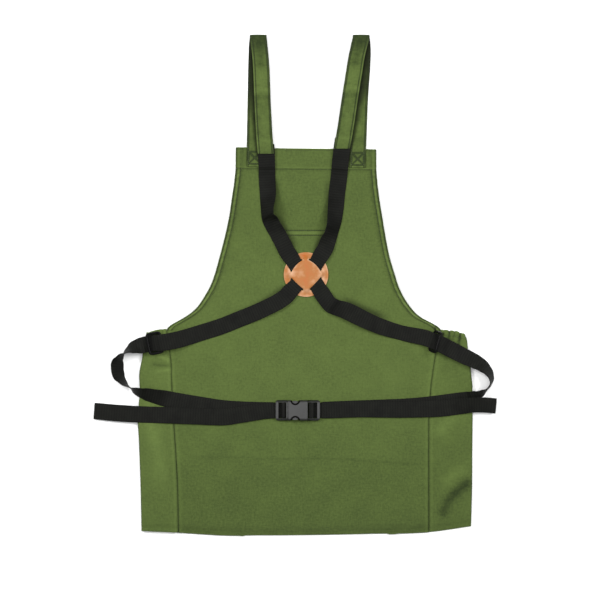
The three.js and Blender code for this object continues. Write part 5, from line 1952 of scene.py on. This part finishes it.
@dataclass
class LeatherPatch:
    """The round crossing patch: four slots round a middle raised over the webbing."""

    lie: ClothLie
    node: str = "leather_patch"
    turn: float = math.radians(47)
    thickness: float = 2 * MM
    slot_width: float = 27 * MM
    middle_width: float = 41 * MM
    slot: float = 3 * MM
    upper_swell: float = 2.2 * MM
    lower_swell: float = 0.6 * MM
    sunk: float = 0.25 * MM
    sunk_reach: float = 15 * MM
    edge: float = 0.45 * MM
    rings: int = 7

    def __post_init__(self) -> None:
        """Work out half a slot's width, where the slots start and end, and the patch's radius."""
        low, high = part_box(self.node)
        self.half, self.inner = self.slot_width / 2, self.middle_width / 2
        self.outer = self.inner + self.slot
        self.radius = (high.x - low.x) / 2
        self.middle = (low + high) / 2

    def plan(self) -> tuple[Array, Array]:
        """Lay the patch out flat, as a slotted square grid that grows round towards the rim.

        Returns:
            The flat places, and the numbers of the places at each face's corners.
        """
        half, inner, outer = self.half, self.inner, self.outer
        spans = (0, half, 10), (half, inner, 6), (inner, outer, 4)
        stops = np.concatenate([[0], *[np.linspace(*span)[1:] for span in spans]])
        grid = np.concatenate([-stops[::-1], stops[1:]])
        places = np.stack(np.meshgrid(grid, grid), 2).reshape(-1, 2)
        number = np.arange(len(places)).reshape(len(grid), len(grid))
        faces = faces_of(number)
        centres = np.abs(places[faces].mean(1))
        slots = (centres.max(1) > inner) & (centres.min(1) < half)
        loop = border_of(number)
        edge = places[loop]
        rim = unit(edge) * self.radius
        points, faces = [places], [faces[~slots]]
        for k in range(1, self.rings + 1):
            points.append(edge + (rim - edge) * (k / self.rings))
            fresh = len(places) + (k - 1) * len(edge) + np.arange(len(edge))
            faces.append(np.stack([loop, fresh, np.roll(fresh, -1), np.roll(loop, -1)], 1))
            loop = fresh
        return np.concatenate(points), np.concatenate(faces)

    def build(self) -> Piece:
        """Build the patch's mesh.

        Returns:
            The patch.
        """
        low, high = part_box(self.node)
        raised = high.z - low.z - self.thickness
        flat, faces = self.plan()
        near, beside = np.abs(flat).max(1), np.abs(flat).min(1)
        slotted = 1 - smoothstep(near, self.inner - 2 * MM, self.outer)
        bridged = 1 - smoothstep(near + beside, self.inner + self.half, 2 * self.outer)
        corner = smoothstep(beside, self.half, self.inner)
        height = raised * (slotted * (1 - corner) + bridged * corner)
        height = height - self.sunk * bump(np.hypot(*flat.T), self.sunk_reach)
        u, v = self.swollen(flat).T
        cos, sin = math.cos(self.turn), math.sin(self.turn)
        x = self.middle.x + u * cos - v * sin
        y = self.middle.y + u * sin + v * cos
        z = low.z + self.thickness + height + self.lie.lift(x, y)
        piece = mesh_piece("tan_leather_patch", np.stack([x, y, z], 1), faces)
        with edited(piece.data) as work:
            loose = [vert for vert in work.verts if not vert.link_faces]
            bmesh.ops.delete(work, geom=loose, context="VERTS")
        thick = piece.modifiers.new("thickness", "SOLIDIFY")
        thick.thickness, thick.offset = self.thickness, -1
        rounded = piece.modifiers.new("rounded_edges", "BEVEL")
        rounded.width, rounded.segments, rounded.limit_method = self.edge, 3, "ANGLE"
        rounded.angle_limit = math.radians(50)
        finish_mesh(piece)
        piece.data.shade_smooth()
        self.mark_wear_and_highlights(piece)
        return piece

    def swell(self, far: Array, beside: Array) -> Array:
        """Give how far a side of the middle bulges over the webbing, an upper one (above 0) further."""
        most = np.where(far > 0, self.upper_swell, self.lower_swell)
        return most * (1 - np.clip(beside / self.half, 0, 1) ** 2)

    def swollen(self, flat: Array) -> Array:
        """Let the middle's sides bulge outwards, and nothing beyond the slots.

        Args:
            flat: Flat places on the patch.

        Returns:
            The same places where they lie then.
        """
        moved = flat.copy()
        for axis in (0, 1):
            along, beside = flat[:, axis], np.abs(flat[:, 1 - axis])
            inside = smoothstep(np.abs(along), 0.4 * self.inner, self.inner)
            inside = inside * (np.abs(along) < self.inner + 0.1 * MM)
            moved[:, axis] += np.sign(along) * self.swell(along, beside) * inside
        return moved

    def mark_wear_and_highlights(self, piece: Piece) -> None:
        """Mark the paler leather along the slots and the rim, and the painted highlights on the upper lips,
        the bends and the sides.

        Args:
            piece: The finished patch.
        """
        offset = places_of(piece.data)[:, :2] - np.array([self.middle.x, self.middle.y])
        cos, sin = math.cos(-self.turn), math.sin(-self.turn)
        u = offset[:, 0] * cos - offset[:, 1] * sin
        v = offset[:, 0] * sin + offset[:, 1] * cos
        far = np.where(np.abs(u) > np.abs(v), u, v)
        near, beside = np.abs(far), np.minimum(np.abs(u), np.abs(v))
        # The lips are paler along the cut, with a painted highlight that is stronger on the upper sides.
        lip = bump(near - self.inner - self.swell(far, beside), 1.5 * MM)
        lip = lip * (beside < self.half + 2 * MM) * np.where(far > 0, 1.3, 0.45)
        rim = bump(np.hypot(u, v) - self.radius, 1.8 * MM)
        # Painted highlights lie on the bends at the corners and on two patches at the sides, and the top is
        # darker.
        bend = 0.7 * bump(near + beside - (self.inner + self.half + 3 * MM), 5 * MM)
        bend = bend * smoothstep(beside, self.half - 3 * MM, self.half)
        patchy = 0.7 + 0.5 * soft_noise(offset[:, 0], offset[:, 1], 7 * MM, 5)
        top = bump(np.hypot(offset[:, 0], offset[:, 1] - 0.78 * self.radius), 9 * MM)
        sides = 0.5 * bump(np.abs(offset[:, 0]) - 0.62 * self.radius, 6 * MM)
        sides = sides * bump(offset[:, 1] - 2 * MM, 9 * MM)
        worn_and_shaded = np.clip((lip + 0.6 * rim + bend * (1 - top) + sides) * patchy, 0, 1)
        set_values(piece, "wear_and_shading", worn_and_shaded - 0.5 * top * (1 - lip))


@dataclass
class WireRing:
    """A black loop of round wire that the webbing passes through."""

    node: str
    nudges: Sequence[Nudge] = ()
    wire: float = 4.4 * MM

    def build(self) -> Piece:
        """Build the ring's smooth mesh.

        Returns:
            The ring.
        """
        piece = welded_copy(self.node, f"glossy_{self.node}")
        smooth = piece.modifiers.new("smooth", "SUBSURF")
        smooth.levels = smooth.render_levels = 2
        finish_mesh(piece)
        # Smoothing an eight-sided wire draws it in, so it is let out again by the same amount.
        shrink = self.wire / 2 * (1 - (2 + math.cos(math.pi / 4)) / 3)
        with edited(piece.data) as work:
            work.normal_update()
            for vert in work.verts:
                vert.co += vert.normal * shrink
                for nudge in self.nudges:
                    vert.co += Vector(nudge.shift(np.array([vert.co]))[0])
        piece.data.shade_smooth()
        return piece


@dataclass
class BuckleHalf:
    """One half of the fastened side-release buckle, with softened edges and crowned long sides."""

    node: str
    edge: float = 0.35 * MM
    flat_reach: float = 12.9 * MM
    crown: float = 3.8 * MM
    crown_drop: float = 2 * MM
    rail_steep: float = 1.7
    frame_top: float = 14 * MM
    plate_top: float = 17.5 * MM
    # Where the housing's hollow body starts and ends along X.
    body: tuple[float, float] = (-12.3 * MM, 19.75 * MM)
    # How far down the crowned sides the mesh is cut so that they can curve.
    cut_shares: tuple[float, ...] = (0, 0.35, 0.7)

    def drop(self, away: float) -> float:
        """Give how far the top has curved down at a distance from the buckle's long middle line."""
        return self.crown_drop * max(0.0, (away - self.flat_reach) / self.crown) ** 1.6

    def curve_sides(self, piece: Piece) -> None:
        """Curve the top down along both long sides.

        Args:
            piece: The half, before its edges are softened.
        """
        low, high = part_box(self.node)
        middle = (low.y + high.y) / 2
        body_low, body_high = self.body
        with edited(piece.data) as work:
            for share in self.cut_shares:
                for sign in (-1, 1):
                    cut = middle + sign * (self.flat_reach + share * self.crown)
                    geometry = [*work.verts, *work.edges, *work.faces]
                    bmesh.ops.bisect_plane(work, geom=geometry, plane_co=(0, cut, 0), plane_no=(0, 1, 0))
            for vert in work.verts:
                inside = body_low < vert.co.x < body_high
                top, steep = (self.plate_top, 1.0) if inside else (self.frame_top, self.rail_steep)
                if vert.co.z > top and not (inside and self.node == "buckle_prongs"):
                    vert.co.z -= steep * self.drop(abs(vert.co.y - middle))
        piece.data.shade_smooth()

    def build(self) -> Piece:
        """Build the half's mesh.

        Returns:
            The half.
        """
        piece = welded_copy(self.node, f"black_{self.node}")
        self.curve_sides(piece)
        rounded = piece.modifiers.new("rounded_edges", "BEVEL")
        rounded.width, rounded.segments, rounded.limit_method = self.edge, 2, "ANGLE"
        rounded.angle_limit = math.radians(40)
        weighted = piece.modifiers.new("flat_faces_stay_flat", "WEIGHTED_NORMAL")
        weighted.mode, weighted.weight = "FACE_AREA", 100
        finish_mesh(piece)
        return piece


@dataclass
class GripRecessShadow:
    """A black sheet that paints the shadow in the deep gap round one finger scoop of the housing."""

    side: Side
    centre_x: float = 0.2 * MM
    inner: float = 5.5 * MM
    outer: float = 8.1 * MM
    bottom: float = 16.9 * MM
    above_plate: float = 0.1 * MM

    def build(self) -> Piece:
        """Build the painted shadow's mesh, a flat half ring open to the buckle's long side.

        Returns:
            The painted shadow.
        """
        low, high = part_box("buckle_housing")
        buckle = BuckleHalf("buckle_housing")
        centre_y = high.y if self.side is Side.RIGHT else low.y
        into, middle = -self.side.value, (low.y + high.y) / 2
        angles = np.linspace(0.06, math.pi - 0.06, 25)
        radii = np.linspace(self.inner, self.outer, 4)
        x = self.centre_x + radii[None, :] * np.cos(angles)[:, None]
        y = centre_y + into * radii[None, :] * np.sin(angles)[:, None]
        top = high.z + self.above_plate - np.vectorize(buckle.drop)(np.abs(y - middle))
        grid = np.stack([x, y, (top + self.bottom) / 2], 2)
        if self.side is Side.LEFT:
            grid, top = grid[::-1], top[::-1]
        return closed_block(f"black_{self.side.name.lower()}_grip_recess_shadow", grid, (top - self.bottom) / 2)


# Studio


@dataclass
class Studio:
    """A plain pale floor, soft light from above and a camera straight above the apron."""

    # How wide a stretch of floor the picture shows, and where its middle lies.
    view_width: float = 0.9735
    view_x: float = -0.0002
    view_y: float = -0.0157
    camera_height: float = 5.0
    sensor: float = 36.0
    floor_size: float = 12
    floor_level: float = -0.2 * MM
    sky: str = "#f4f6f8"
    sky_strength: float = 0.49

    def build(self, paper: Material) -> None:
        """Build the floor, the lights and the camera.

        Args:
            paper: The floor's material.
        """
        bpy.ops.mesh.primitive_plane_add(size=self.floor_size, location=(0, 0, self.floor_level))
        floor = bpy.context.object
        floor.name = "studio_floor"
        floor.data.materials.append(paper)
        self.add_light("left_softbox", (-1.9, 1.0, 2.3), size=1.0, power=65)
        self.add_light("right_softbox", (1.8, 0.6, 2.3), size=1.0, power=47)
        self.add_light("overhead_softbox", (0.0, 0.2, 6.0), size=3.0, power=120)
        world = bpy.data.worlds.new("studio_light")
        bpy.context.scene.world = world
        world.use_nodes = True
        sky = world.node_tree.nodes["Background"]
        set_inputs(world.node_tree, sky, {"Color": linear(self.sky), "Strength": self.sky_strength})
        data = bpy.data.cameras.new("overhead_camera")
        data.sensor_width = self.sensor
        data.lens = self.sensor * self.camera_height / self.view_width
        data.clip_end = 50
        camera = linked_object("overhead_camera", data)
        camera.location = (self.view_x, self.view_y, self.camera_height)
        bpy.context.scene.camera = camera
        bpy.context.scene.view_settings.view_transform = "Standard"

    def add_light(self, name: str, place: tuple[float, float, float], size: float, power: float) -> None:
        """Hang a softbox that looks at the apron's middle.

        Args:
            name: The light's name.
            place: Where it hangs.
            size: Its side.
            power: Its power in watts.
        """
        data = bpy.data.lights.new(name, "AREA")
        data.size, data.energy = size, power
        light = linked_object(name, data)
        light.location = place
        light.rotation_mode = "QUATERNION"
        light.rotation_quaternion = (-Vector(place)).to_track_quat("-Z", "Y")


SIDES = ("left", "right")
WEBBINGS = ("cross_webbing", "waist_webbing", "webbing_tail")


def main() -> None:
    """Build the apron's pieces, dress them and light the scene."""
    logging.basicConfig(level=logging.INFO, format="%(name)s: %(message)s")
    canvas = CanvasFinish().material()
    webbing = WebbingFinish().material()
    leather = LeatherFinish().material()
    acetal, enamel, recess_shadow = (finish.material() for finish in (ACETAL, ENAMEL, RECESS_SHADOW))
    stitcher = StitchMaker(ThreadFinish().material())
    lie = ClothLie()

    panel = BackPanel(lie)
    body = place_piece(panel.build(), Slot.CANVAS, canvas, panel.node)
    pouch = PouchFront()
    front = place_piece(pouch.build(), Slot.CANVAS, canvas, pouch.node)
    stitcher.sew("back_panel_stitching", panel.seams)
    stitcher.sew("pouch_stitching", pouch.seams)

    for gusset in side_gussets(lie):
        piece = place_piece(gusset.build(), Slot.CANVAS, canvas, gusset.node)
        stitcher.sew(f"gusset_{gusset.side.name.lower()}_stitching", gusset.seams)

    for name in (f"shoulder_strap_{side}" for side in SIDES):
        strap = ShoulderStrap(name, lie)
        place_piece(strap.build(), Slot.CANVAS, canvas, name)
        stitcher.sew(f"{name}_stitching", strap.seams)

    for node in (f"{kind}_{side}" for kind in WEBBINGS for side in SIDES):
        run = WebbingRun(node, lie, NUDGES.get(node, ()), TILTS.get(node, ()), SLACK.get(node, 0.0))
        place_piece(run.build(), Slot.WEBBING, webbing, node)
    patch = LeatherPatch(lie)
    place_piece(patch.build(), Slot.LEATHER, leather, patch.node)
    for name in SIDES:
        tab, ring = f"ring_tab_{name}", f"side_ring_{name}"
        place_piece(RingTab(tab, NUDGES.get(tab, ())).build(), Slot.CANVAS, canvas, tab)
        place_piece(WireRing(ring, NUDGES.get(ring, ())).build(), Slot.RING, enamel, ring)
    for node in ("buckle_prongs", "buckle_housing"):
        place_piece(BuckleHalf(node).build(), Slot.BUCKLE, acetal, node)
    for side in Side:
        place_piece(GripRecessShadow(side).build(), Slot.BUCKLE, recess_shadow)

    Studio().build(PaperFinish().material())


if __name__ == "__main__":
    main()
